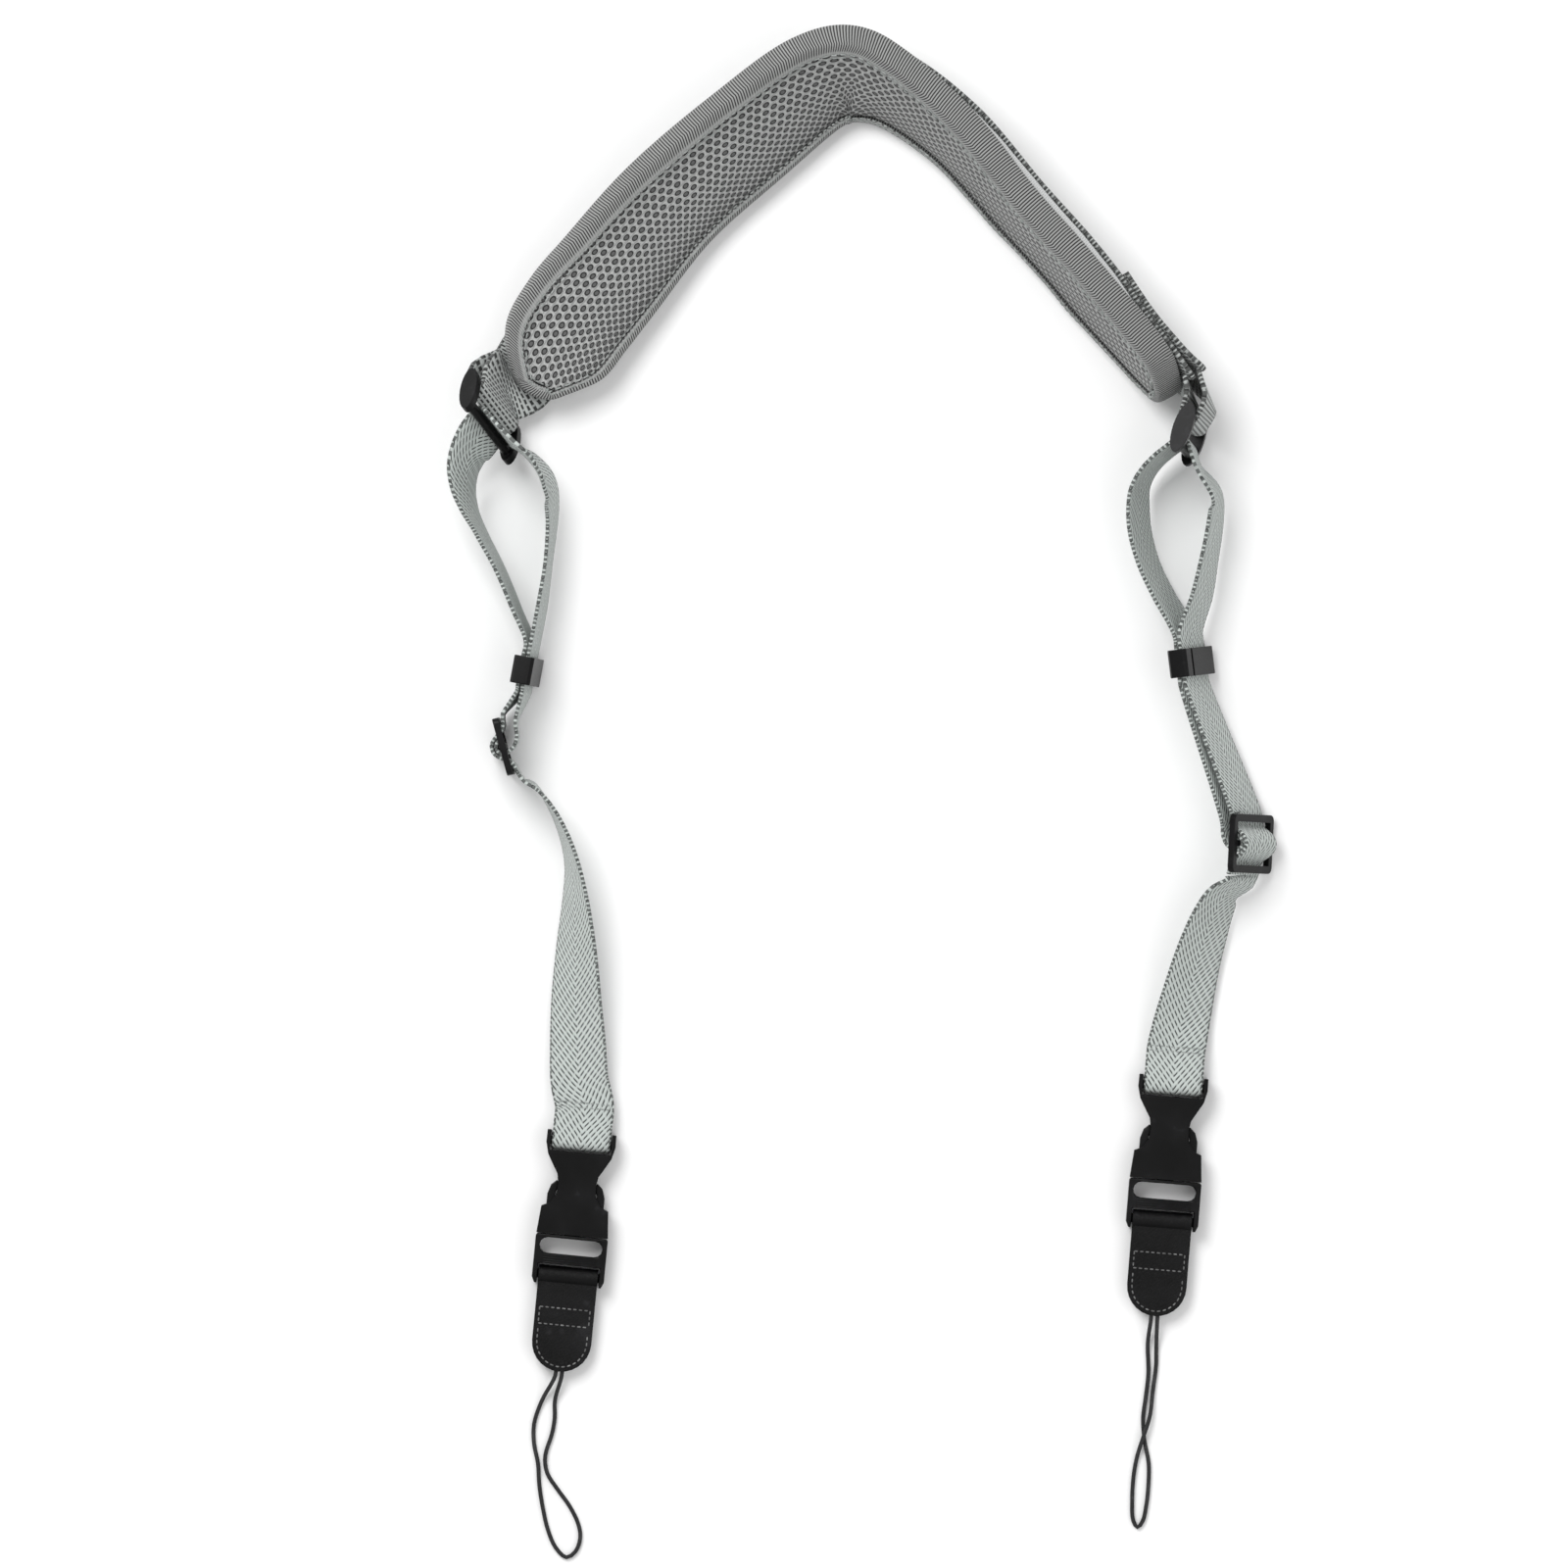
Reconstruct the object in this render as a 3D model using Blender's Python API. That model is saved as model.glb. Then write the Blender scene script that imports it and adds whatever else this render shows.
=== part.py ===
"""Padded neck strap with two quick-release accessory ends, laid out flat.

The strap lies on a table (z = 0) with the apex of its pad towards +Y and its
two accessory ends towards -Y.  Sizes are written in millimetres and turned
into metres by MM when a mesh is finished.
"""

import math

import bmesh
import bpy
from mathutils import Matrix, Vector

MM = 0.001
GAP = 0.3

# The plan centre of all but the cords, subtracted from every position below.
PLAN_CENTRE = Vector((-2.44, 56.74, -0.06))

# Pad
PAD_BINDING = 1.4
PAD_BINDING_HEIGHT = 9.0
PAD_CORE_HALF = 2.7
PAD_SKIN_OUTER = 4.0
PAD_LAYER_GAP = 0.6
PAD_EDGE_GAP = 1.6
PAD_STEP = 5.0

# Webbing
WIDE_WEB = 25.0
WIDE_THICK = 1.6
SLIM_WEB = 20.0
SLIM_THICK = 1.2

# Rings
RING_BAR_RADIUS = 1.7
RING_BAR_SPACING = 10.0
RING_CHEEK_INNER = 13.1
RING_CHEEK_THICK = 2.7
RING_CHEEK_LONG = 18.0
RING_CHEEK_SHORT = 6.5
WRAP_WIDE = RING_BAR_RADIUS + GAP + WIDE_THICK / 2
WRAP_SLIM = RING_BAR_RADIUS + GAP + SLIM_THICK / 2
RING_SLIM_SHIFT = 1.5
RING_SLIM_TURN = 55
RING_SLIM_RUN = 5.0
RING_EASE = 1.05

# Sliding adjusters
ADJ_LENGTH = 20.0
ADJ_WIDTH = 26.0
ADJ_THICK = 2.2
ADJ_SLOT_WIDTH = 21.2
ADJ_BAR = 2.0
ADJ_END_BAR = 2.6
ADJ_SEWN_RADIUS = 2.4
ADJ_BIGHT_RADIUS = ADJ_SEWN_RADIUS + SLIM_THICK + GAP

# Keepers
KEEPER_WIDTH = 24.0
KEEPER_DEPTH = 7.0
KEEPER_LENGTH = 9.5
KEEPER_WALL = 1.3
KEEPER_SLIT = (6.0, 7.1)

# Side-release buckles; u runs from the strap towards the leather tab
BUCKLE_Z = 4.2
BUCKLE_HALF_THICK = 3.9
SOCKET_BAR_U = -0.8
SOCKET_BAR_RADIUS = 1.5
SOCKET_MOUTH_U = 31.0
CHANNEL_HALF_WIDTH = 10.2
CHANNEL_HALF_HEIGHT = 2.4
CHANNEL_TOP_U = 12.0
ARM_INNER = 10.4
CLIP_TOP_U = 31.3
CLIP_END_U = 48.0
CLIP_HALF_WIDTH = 12.3
CLIP_SLOT = (32.3, 37.7)
CLIP_GRIP_END = 41.2
CLIP_CHEEK_INNER = 10.6
PRONG_ROOT_U = 31.0
PRONG_HALF_HEIGHT = 1.9
TAB_BAR_U = 44.8
TAB_BAR_RADIUS = 1.4
TAB_THICK = 3.0
TAB_HALF_WIDTH = 10.1
TAB_END_U = 77.5
POCKET_TOP_U = 69.5
CORD_RADIUS = 0.7

BLACK_PLASTIC = ((0.022, 0.022, 0.023), 0.42)
WEB_GREY = ((0.52, 0.54, 0.53), 0.85)
PAD_GREY = ((0.42, 0.43, 0.44), 0.9)
MESH_GREY = ((0.38, 0.38, 0.38), 0.9)
FOAM_GREY = ((0.30, 0.30, 0.31), 0.95)
BLACK_LEATHER = ((0.018, 0.018, 0.019), 0.5)
BLACK_CORD = ((0.012, 0.012, 0.013), 0.7)

# Pad centre line: x, y, tilt of the width from the table in degrees, lift of
# the lower edge above the table, half width.
PAD_ROUTE = (
    (-113.7, 162.5, 8, 6.5, 8.0),
    (-107.7, 173.8, 10, 5.0, 18.0),
    (-99.0, 187.2, 15, 3.2, 20.0),
    (-89.0, 199.5, 22, 2.2, 20.0),
    (-68.3, 224.2, 34, 0.8, 20.0),
    (-41.3, 247.8, 38, 0.2, 20.0),
    (-18.0, 265.8, 45, 0.2, 20.0),
    (-7.0, 269.8, 53, 0.2, 20.0),
    (5.0, 265.2, 61, 0.2, 20.0),
    (27.2, 248.4, 70, 0.2, 20.0),
    (50.0, 222.1, 75, 0.2, 20.0),
    (64.8, 205.9, 76, 0.2, 20.0),
    (76.2, 192.5, 76, 0.2, 20.0),
    (87.2, 180.0, 76, 0.9, 18.5),
    (96.3, 168.8, 76, 2.8, 15.0),
    (100.7, 161.4, 76, 7.3, 7.0),
)


# How far the wide webbing stands off the pad's back, by centre line entry.
BULGE = {7: 0.5, 8: 2.0, 9: 3.5, 10: 4.0, 11: 4.0, 12: 3.5, 13: 1.5}


class Axes:
    """A right-handed set of axes with an origin, all in millimetres."""

    def __init__(self, origin, a, b, c):
        self.origin = Vector(origin)
        self.a = Vector(a).normalized()
        self.b = Vector(b).normalized()
        self.c = Vector(c).normalized()

    def at(self, a, b, c):
        """The point at the given distances along the three axes."""
        return self.origin + a * self.a + b * self.b + c * self.c

    def matrix(self):
        """The 4 x 4 matrix that takes local points to this place."""
        turn = Matrix((self.a, self.b, self.c)).transposed().to_4x4()
        return Matrix.Translation(self.origin) @ turn


def square_axes(origin, first, second):
    """Axes from a first direction and a second one made square to it."""
    first = Vector(first).normalized()
    second = Vector(second)
    second = (second - second.dot(first) * first).normalized()
    return Axes(origin, first, second, first.cross(second))


class Side:
    """The places that differ between the left and the right strap."""

    def __init__(self, name, ring, adjuster, keeper, bar, outward):
        self.name = name
        self.ring = ring
        self.adjuster = adjuster
        self.keeper = keeper
        self.outward = outward
        down = Vector((bar[1][0], bar[1][1], 0.0)).normalized()
        across = Vector((-down.y, down.x, 0.0))
        self.buckle = Axes((bar[0][0], bar[0][1], BUCKLE_Z), down, across, (0, 0, 1))


# ring axes: a along the bars (downwards), b from wide bar to slim bar, c square
# adjuster axes: a along the strap, b along the bars, c towards the bight
LEFT = Side(
    "left",
    square_axes((-128.7, 152.5, 18.2), (0.467, -0.605, -0.643), (-0.113, -0.763, 0.637)),
    square_axes((-124.2, 40.5, 13.2), (0.264, -0.965, 0.0), (0.05, -0.12, -0.985)),
    square_axes((-116.3, 66.2, 12.4), (-0.18, -0.98, 0.0), (0.14, 0.0, -0.99)),
    ((-98.0, -94.8), (-0.0974, -0.9952)),
    1.0,
)
RIGHT = Side(
    "right",
    square_axes((108.3, 146.5, 17.4), (0.15, -0.146, -0.978), (-0.33, -0.94, 0.09)),
    square_axes((129.5, 7.5, 12.6), (-0.05, -0.998, 0.0), (0.53, 0.0, -0.85)),
    square_axes((109.3, 69.2, 12.6), (0.12, -0.99, 0.0), (0.42, 0.0, -0.9)),
    ((103.2, -75.8), (-0.0813, -0.9967)),
    -1.0,
)
SIDES = (LEFT, RIGHT)


def smooth(controls, step, space=3):
    """Points of a centripetal curve through tuples, about a step apart.

    The first few numbers of each tuple, as many as space says, are its place.
    """
    places = [Vector([*item[:space], 0.0][:3]) for item in controls]
    spans = [(b - a).length for a, b in zip(places, places[1:])]
    knots = [math.sqrt(span) for span in spans]
    knots = [knots[0], *knots, knots[-1]]
    padded = [controls[0], *controls, controls[-1]]
    points = []
    for index, span in enumerate(spans):
        p0, p1, p2, p3 = padded[index : index + 4]
        k0, k1, k2 = knots[index : index + 3]
        count = max(1, round(span / step))
        for part in range(count):
            t = part / count
            point = []
            for a, b, c, d in zip(p0, p1, p2, p3):
                slope_in = k1 * ((b - a) / k0 - (c - a) / (k0 + k1) + (c - b) / k1)
                slope_out = k1 * ((c - b) / k1 - (d - b) / (k1 + k2) + (d - c) / k2)
                bend = 2 * b - 2 * c + slope_in + slope_out
                rise = 3 * c - 3 * b - 2 * slope_in - slope_out
                point.append(b + slope_in * t + rise * t * t + bend * t**3)
            points.append(tuple(point))
    points.append(tuple(controls[-1]))
    return points


def material(name, look):
    """A Principled material with one colour and roughness."""
    found = bpy.data.materials.get(name)
    if found:
        return found
    made = bpy.data.materials.new(name)
    made.use_nodes = True
    shader = made.node_tree.nodes["Principled BSDF"]
    shader.inputs["Base Color"].default_value = (*look[0], 1.0)
    shader.inputs["Roughness"].default_value = look[1]
    shader.inputs["Metallic"].default_value = 0.0
    return made


def add_object(name, mesh_edit, pivot, look, slot):
    """Turn a millimetre bmesh into an object whose origin is at pivot."""
    bmesh.ops.recalc_face_normals(mesh_edit, faces=mesh_edit.faces)
    if mesh_edit.calc_volume(signed=True) < 0:
        bmesh.ops.reverse_faces(mesh_edit, faces=mesh_edit.faces)
    bmesh.ops.translate(mesh_edit, verts=mesh_edit.verts, vec=-Vector(pivot))
    bmesh.ops.scale(mesh_edit, verts=mesh_edit.verts, vec=(MM, MM, MM))
    mesh = bpy.data.meshes.new(name)
    mesh_edit.to_mesh(mesh)
    mesh_edit.free()
    mesh.shade_smooth()
    mesh.set_sharp_from_angle(angle=math.radians(35))
    piece = bpy.data.objects.new(name, mesh)
    piece.location = (Vector(pivot) - PLAN_CENTRE) * MM
    bpy.context.scene.collection.objects.link(piece)
    mesh.materials.append(material(slot, look))
    return piece


def loft(mesh_edit, rings, closed=False):
    """Skin a row of equal rings of points; open ends get flat caps."""
    rows = [[mesh_edit.verts.new(point) for point in ring] for ring in rings]
    count = len(rows[0])
    pairs = list(zip(rows, rows[1:]))
    if closed:
        pairs.append((rows[-1], rows[0]))
    for first, second in pairs:
        for index in range(count):
            after = (index + 1) % count
            mesh_edit.faces.new((first[index], first[after], second[after], second[index]))
    if not closed:
        mesh_edit.faces.new(rows[0][::-1])
        mesh_edit.faces.new(rows[-1])


def frames_along(stations, closed=False):
    """Position, width direction and face direction at each station."""
    result = []
    count = len(stations)
    for index, station in enumerate(stations):
        before = stations[(index - 1) % count] if closed or index else station
        last = index == count - 1 and not closed
        after = station if last else stations[(index + 1) % count]
        along = (Vector(after[:3]) - Vector(before[:3])).normalized()
        width = Vector(station[3:6])
        width = (width - width.dot(along) * along).normalized()
        result.append((Vector(station[:3]), width, width.cross(along)))
    return result


def ribbon(mesh_edit, stations, width, thick, closed=False):
    """A flat strip of the given width and thickness along the stations."""
    rings = []
    for centre, across, face in frames_along(stations, closed):
        half, skin = across * width / 2, face * thick / 2
        rings.append(
            (
                centre + half + skin,
                centre - half + skin,
                centre - half - skin,
                centre + half - skin,
            )
        )
    loft(mesh_edit, rings, closed)


def prism(outline, low, high):
    """A bmesh that extrudes a flat outline between two heights."""
    mesh_edit = bmesh.new()
    face = mesh_edit.faces.new([mesh_edit.verts.new((x, y, low)) for x, y in outline])
    grown = bmesh.ops.extrude_face_region(mesh_edit, geom=[face])
    moved = [item for item in grown["geom"] if isinstance(item, bmesh.types.BMVert)]
    bmesh.ops.translate(mesh_edit, verts=moved, vec=(0, 0, high - low))
    return mesh_edit


def arc(centre_x, centre_y, radius_x, radius_y, start, end, steps):
    """Points of an elliptic arc, its ends included, angles in degrees."""
    angles = [math.radians(start + (end - start) * k / steps) for k in range(steps + 1)]
    return [
        (centre_x + radius_x * math.cos(t), centre_y + radius_y * math.sin(t)) for t in angles
    ]


def rounded_box(half_x, half_y, radius):
    """The outline of a rectangle with round corners."""
    corners = ((1, 1, 0), (-1, 1, 90), (-1, -1, 180), (1, -1, 270))
    outline = []
    for sign_x, sign_y, turn in corners:
        x = sign_x * (half_x - radius)
        y = sign_y * (half_y - radius)
        outline += arc(x, y, radius, radius, turn, turn + 90, 3)
    return outline


def add_cylinder(mesh_edit, start, end, radius, sides=16):
    """A closed cylinder between two points, added to a bmesh."""
    along = Vector(end) - Vector(start)
    turn = along.to_track_quat("Z", "Y").to_matrix().to_4x4()
    place = Matrix.Translation((Vector(start) + Vector(end)) / 2) @ turn
    bmesh.ops.create_cone(
        mesh_edit,
        cap_ends=True,
        segments=sides,
        radius1=radius,
        radius2=radius,
        depth=along.length,
        matrix=place,
    )


def add_box(mesh_edit, low, high):
    """A closed box between two corners, added to a bmesh."""
    low, high = Vector(low), Vector(high)
    place = Matrix.Translation((low + high) / 2) @ Matrix.Diagonal((*(high - low), 1.0))
    bmesh.ops.create_cube(mesh_edit, size=1.0, matrix=place)


def boolean(piece, other, operation):
    """Combine a piece with a helper object that the build leaves out."""
    other.hide_render = True
    other.display_type = "WIRE"
    step = piece.modifiers.new(other.name, "BOOLEAN")
    step.object = other
    step.operation = operation
    step.solver = "EXACT"


# ---------------------------------------------------------------- pad


def pad_frames(step=PAD_STEP):
    """Centre, width, face and half width at each station along the pad."""
    points = smooth(PAD_ROUTE, step, 2)
    frames = []
    for index, (x, y, tilt, lift, half) in enumerate(points):
        before = points[max(index - 1, 0)]
        after = points[min(index + 1, len(points) - 1)]
        along = Vector((after[0] - before[0], after[1] - before[1], 0.0)).normalized()
        side = Vector((-along.y, along.x, 0.0))
        turn = math.radians(tilt)
        width = math.cos(turn) * side + math.sin(turn) * Vector((0, 0, 1))
        face = math.cos(turn) * Vector((0, 0, 1)) - math.sin(turn) * side
        edge = PAD_BINDING_HEIGHT / 2
        height = half * math.sin(turn) + edge * math.cos(turn) + lift
        frames.append((Vector((x, y, height)), width, face, half))
    return frames


def pad_layer(name, low, high, chamfer, look, slot):
    """One layer of the pad between two distances from its middle plane."""
    mesh_edit = bmesh.new()
    rings = []
    for centre, width, face, half in pad_frames()[1:-1]:
        edge = half - PAD_BINDING - PAD_EDGE_GAP
        inner = edge - chamfer
        middle = (low + high) / 2
        profile = [(edge, middle + (high - low) / 6), (inner, high), (-inner, high)]
        profile += [(-edge, middle + (high - low) / 6), (-edge, middle - (high - low) / 6)]
        profile += [(-inner, low), (inner, low), (edge, middle - (high - low) / 6)]
        rings.append([centre + width * a + face * b for a, b in profile])
    loft(mesh_edit, rings)
    return add_object(name, mesh_edit, PLAN_CENTRE, look, slot)


def pad_binding():
    """The ribbed band that closes the edge of the pad all round."""
    frames = pad_frames()
    offset = PAD_BINDING / 2
    stations = []
    for centre, width, face, half in frames:
        stations.append((*(centre + width * (half - offset)), *face))
    centre, width, face, half = frames[-1]
    stations += pad_end(frames[-1], frames[-2], 1)
    for centre, width, face, half in reversed(frames):
        stations.append((*(centre - width * (half - offset)), *face))
    stations += pad_end(frames[0], frames[1], -1)
    mesh_edit = bmesh.new()
    ribbon(mesh_edit, stations, PAD_BINDING_HEIGHT, PAD_BINDING, closed=True)
    return add_object("edge_binding", mesh_edit, PLAN_CENTRE, PAD_GREY, "pad_fabric")


def pad_end(frame, neighbour, sign):
    """Binding stations across the short end of the pad."""
    centre, width, face, half = frame
    along = (centre - neighbour[0]).normalized()
    places = ((0.75, 1.2), (0.4, 2.2), (0.0, 2.6), (-0.4, 2.2), (-0.75, 1.2))
    return [
        (*(centre + width * (half * share * sign) + along * out), *face)
        for share, out in places
    ]


def wrap(axes, bar, radius, start, end, steps, sign, shift=0.0):
    """Stations round a ring's bar; sign turns the webbing's width up or down."""
    stations = []
    for step in range(steps + 1):
        angle = math.radians(start + (end - start) * step / steps)
        point = axes.at(shift, bar + radius * math.cos(angle), radius * math.sin(angle))
        stations.append((*point, *(axes.a * sign)))
    return stations


def spine_route():
    """The wide webbing: sewn end, left ring, pad back, right ring, sewn end."""
    frames = pad_frames(1000.0)
    near = -(PAD_SKIN_OUTER + 2 * GAP + WIDE_THICK / 2)
    end = -(PAD_BINDING_HEIGHT / 2 + 2 * GAP + WIDE_THICK / 2)
    far = near - WIDE_THICK - 2 * GAP

    def under(index, depth, aside=0.0):
        centre, width, face, _ = frames[index]
        return (*(centre + face * depth + width * aside), *width)

    step = WIDE_THICK + 2 * GAP
    route = [under(3, far), under(2, far - 0.3, 1.5), under(1, end - step, 3.5)]
    route.append(under(0, end - 1.5 * step, 5.0))
    route += wide_wrap(LEFT.ring)
    route += [under(0, end - 0.8, 5.0), under(1, end, 3.5), under(2, near, 1.5)]
    route += [under(index, near - BULGE.get(index, 0.0)) for index in range(3, 14)]
    route += [under(14, end - 0.6), under(15, end - 0.8)]
    route += wide_wrap(RIGHT.ring)
    route += [under(15, end - 2.5 * step), under(14, end - 1.6 * step)]
    route += [under(13, far - BULGE[13]), under(12, far - BULGE[12] - 0.2)]
    return route


def wide_wrap(axes):
    """The wide webbing's turn round a ring, straight until past the cheeks."""
    bar = -RING_BAR_SPACING / 2
    past = -RING_CHEEK_LONG / 2 - 3.4
    out = WRAP_WIDE + 0.4
    first = (*axes.at(0, past, out), *(-axes.a))
    last = (*axes.at(0, past, -out), *(-axes.a))
    return [first, *wrap(axes, bar, WRAP_WIDE, 95, -95, 6, -1), last]


def build_pad():
    """Foam, mesh lining, cover, edge binding and the webbing sewn along it."""
    core = PAD_CORE_HALF
    skin = PAD_CORE_HALF + PAD_LAYER_GAP
    pad_layer("foam_core", -core, core, 3.0, FOAM_GREY, "foam")
    pad_layer("mesh_lining", skin, PAD_SKIN_OUTER, 0.4, MESH_GREY, "mesh")
    pad_layer("outer_cover", -PAD_SKIN_OUTER, -skin, 0.4, PAD_GREY, "pad_fabric")
    pad_binding()
    mesh_edit = bmesh.new()
    ribbon(mesh_edit, smooth(spine_route(), 4.0), WIDE_WEB, WIDE_THICK)
    add_object("spine_webbing", mesh_edit, PLAN_CENTRE, WEB_GREY, "wide_webbing")


# ---------------------------------------------------------------- rings


def build_ring(side):
    """Two round bars between two oval cheeks, moulded in one piece."""
    axes = side.ring
    pivot = axes.at(0, -RING_BAR_SPACING / 2, 0)
    oval = arc(0, 0, RING_CHEEK_LONG / 2, RING_CHEEK_SHORT / 2, 0, 345, 23)
    inner, outer = RING_CHEEK_INNER, RING_CHEEK_INNER + RING_CHEEK_THICK
    # prism axes are b, c, a of the ring
    place = Axes(axes.origin, axes.b, axes.c, axes.a).matrix()
    cheek = prism(oval, -outer, -inner)
    bmesh.ops.transform(cheek, matrix=place, verts=cheek.verts)
    ring = add_object(f"ring_{side.name}", cheek, pivot, BLACK_PLASTIC, "plastic")
    rest = prism(oval, inner, outer)
    bmesh.ops.transform(rest, matrix=place, verts=rest.verts)
    other = add_object(f"tool_cheek_{side.name}", rest, pivot, BLACK_PLASTIC, "plastic")
    bars = bmesh.new()
    reach = inner + RING_CHEEK_THICK / 2
    for offset in (-RING_BAR_SPACING / 2, RING_BAR_SPACING / 2):
        add_cylinder(
            bars, axes.at(-reach, offset, 0), axes.at(reach, offset, 0), RING_BAR_RADIUS
        )
    rods = add_object(f"tool_bars_{side.name}", bars, pivot, BLACK_PLASTIC, "plastic")
    boolean(ring, rods, "UNION")
    boolean(ring, other, "UNION")


# ---------------------------------------------------------------- narrow webbing

SEWN_LEGS = {
    "left": (
        (-107.7, 121.5, 12.4, 0.18, 0.0, -0.98),
        (-109.0, 103.8, 11.8, 0.1, 0.0, -0.99),
        (-111.3, 87.8, 12.0, 0.14, 0.0, -0.99),
        (-114.3, 74.5, 12.3, 0.14, 0.0, -0.99),
    ),
    "right": (
        (91.2, 123.5, 12.6, 0.36, 0.0, -0.93),
        (91.7, 114.2, 12.0, 0.38, 0.0, -0.92),
        (94.7, 102.8, 12.0, 0.38, 0.0, -0.92),
        (99.7, 92.2, 12.2, 0.40, 0.0, -0.92),
        (105.5, 78.8, 12.4, 0.42, 0.0, -0.9),
    ),
}
MAIN_LEGS = {
    "left": (
        (-132.0, 113.2, 12.1, 0.18, 0.0, -0.98),
        (-125.6, 100.8, 11.8, 0.15, 0.0, -0.99),
        (-119.9, 87.2, 12.0, 0.14, 0.0, -0.99),
        (-117.1, 76.8, 12.3, 0.14, 0.0, -0.99),
    ),
    "right": (
        (117.8, 121.5, 12.6, 0.24, 0.0, -0.97),
        (117.0, 113.5, 12.2, 0.27, 0.0, -0.96),
        (115.3, 103.8, 12.0, 0.3, 0.0, -0.95),
        (113.0, 92.2, 12.2, 0.36, 0.0, -0.93),
        (110.7, 79.5, 12.4, 0.42, 0.0, -0.9),
    ),
}
LOWER_ROUTES = {
    "left": (
        (-113.3, 26.8, 12.6, -0.05, 0.1, -0.98),
        (-107.7, 19.2, 11.6, -0.08, 0.0, -0.99),
        (-103.3, 9.5, 10.9, -0.15, 0.0, -0.98),
        (-100.7, -0.5, 10.6, -0.24, 0.0, -0.95),
        (-99.7, -11.5, 9.8, -0.40, 0.0, -0.87),
        (-99.5, -29.5, 8.2, -0.66, 0.0, -0.70),
        (-99.5, -46.5, 6.6, -0.84, 0.0, -0.50),
        (-99.0, -61.2, 5.4, -0.94, 0.0, -0.30),
        (-98.5, -73.0, 5.0, -0.99, 0.05, -0.14),
    ),
    "right": (
        (120.4, -9.6, 10.4, 0.60, 0.0, -0.78),
        (116.6, -16.6, 9.6, 0.68, 0.0, -0.70),
        (113.7, -24.5, 8.7, 0.76, 0.0, -0.62),
        (111.0, -33.2, 7.8, 0.82, 0.0, -0.54),
        (108.4, -43.5, 6.6, 0.89, 0.0, -0.42),
        (106.2, -53.0, 5.4, 0.96, 0.0, -0.26),
        (105.0, -59.0, 5.0, 0.99, 0.05, -0.12),
    ),
}


def adjuster_station(side, along, out):
    """A webbing station in the adjuster's axes, flat against its bars."""
    axes = side.adjuster
    return (*axes.at(along, 0, side.outward * -out), *axes.b)


def keeper_station(side, along, out):
    """A webbing station inside the keeper, at a distance to its outer side."""
    return (*side.keeper.at(along, 0, side.outward * -out), *side.keeper.b)


def adjuster_turn(side, radius, start, end, steps):
    """Stations round the adjuster's middle bar, angles from its outer side."""
    stations = []
    for step in range(steps + 1):
        angle = math.radians(start + (end - start) * step / steps)
        along = -radius * math.sin(angle)
        stations.append(adjuster_station(side, along, radius * math.cos(angle)))
    return stations


def ease(first, last, steps):
    """Stations from one (place, direction, width) to another, ends left out."""
    reach = (last[0] - first[0]).length * RING_EASE
    stations = []
    for step in range(1, steps):
        t = step / steps
        place = first[0] * (2 * t**3 - 3 * t**2 + 1) + last[0] * (3 * t**2 - 2 * t**3)
        place += reach * (first[1] * (t**3 - 2 * t**2 + t) + last[1] * (t**3 - t**2))
        stations.append((*place, *first[2].lerp(last[2], t)))
    return stations


def ring_departure(axes, way):
    """Where the slim webbing leaves the ring, way being -1 or 1 along c."""
    leave = math.radians(RING_SLIM_TURN)
    along = math.sin(leave) * axes.b + way * math.cos(leave) * axes.c
    back = RING_BAR_SPACING / 2 - WRAP_SLIM * math.cos(leave)
    place = axes.at(RING_SLIM_SHIFT, back, way * WRAP_SLIM * math.sin(leave))
    return place + along * RING_SLIM_RUN, along, axes.a


def ring_turn(side):
    """The sewn leg's top, the turn round the ring and the main leg's top."""
    axes = side.ring
    bar = RING_BAR_SPACING / 2
    turn = side.outward
    stations = []
    for way, leg in ((-turn, SEWN_LEGS[side.name]), (turn, MAIN_LEGS[side.name])):
        departure = ring_departure(axes, way)
        place = Vector(leg[0][:3])
        along = (Vector(leg[1][:3]) - place).normalized()
        arrival = (place, along, Vector(leg[0][3:]).normalized())
        half = [(*departure[0], *departure[2]), *ease(departure, arrival, 5)]
        stations.append(half)
    start, end = 180 + turn * RING_SLIM_TURN, 180 - turn * RING_SLIM_TURN
    middle = wrap(axes, bar, WRAP_SLIM, start, end, 4, 1, RING_SLIM_SHIFT)
    return [*reversed(stations[0]), *middle, *stations[1]]


def loop_route(side):
    """Sewn end, middle bar, sewn leg, keeper, ring, main leg, keeper, bight."""
    layer = (SLIM_THICK + 0.5) / 2
    route = adjuster_turn(side, ADJ_SEWN_RADIUS, 105, -125, 7)
    route += [adjuster_station(side, *place) for place in ((0.9, -3.6), (-2.0, -5.4))]
    route += [adjuster_station(side, -7.0, -6.2)]
    route += [keeper_station(side, 7.0, -layer - 0.1), keeper_station(side, 4.6, -layer)]
    route.append(keeper_station(side, -4.6, -layer))
    route += reversed(SEWN_LEGS[side.name])
    route += ring_turn(side)
    route += MAIN_LEGS[side.name]
    route += [keeper_station(side, -4.6, layer), keeper_station(side, 4.6, layer)]
    route.append(keeper_station(side, 7.0, layer + 0.1))
    dive = ((10.6, -2.7), (8.8, -2.2), (7.2, -2.0), (5.5, -1.1), (4.5, 0.4))
    route += [adjuster_station(side, -along, out) for along, out in dive]
    route += adjuster_turn(side, ADJ_BIGHT_RADIUS, 55, -55, 4)
    route += [adjuster_station(side, along, out) for along, out in reversed(dive)]
    return route


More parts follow.
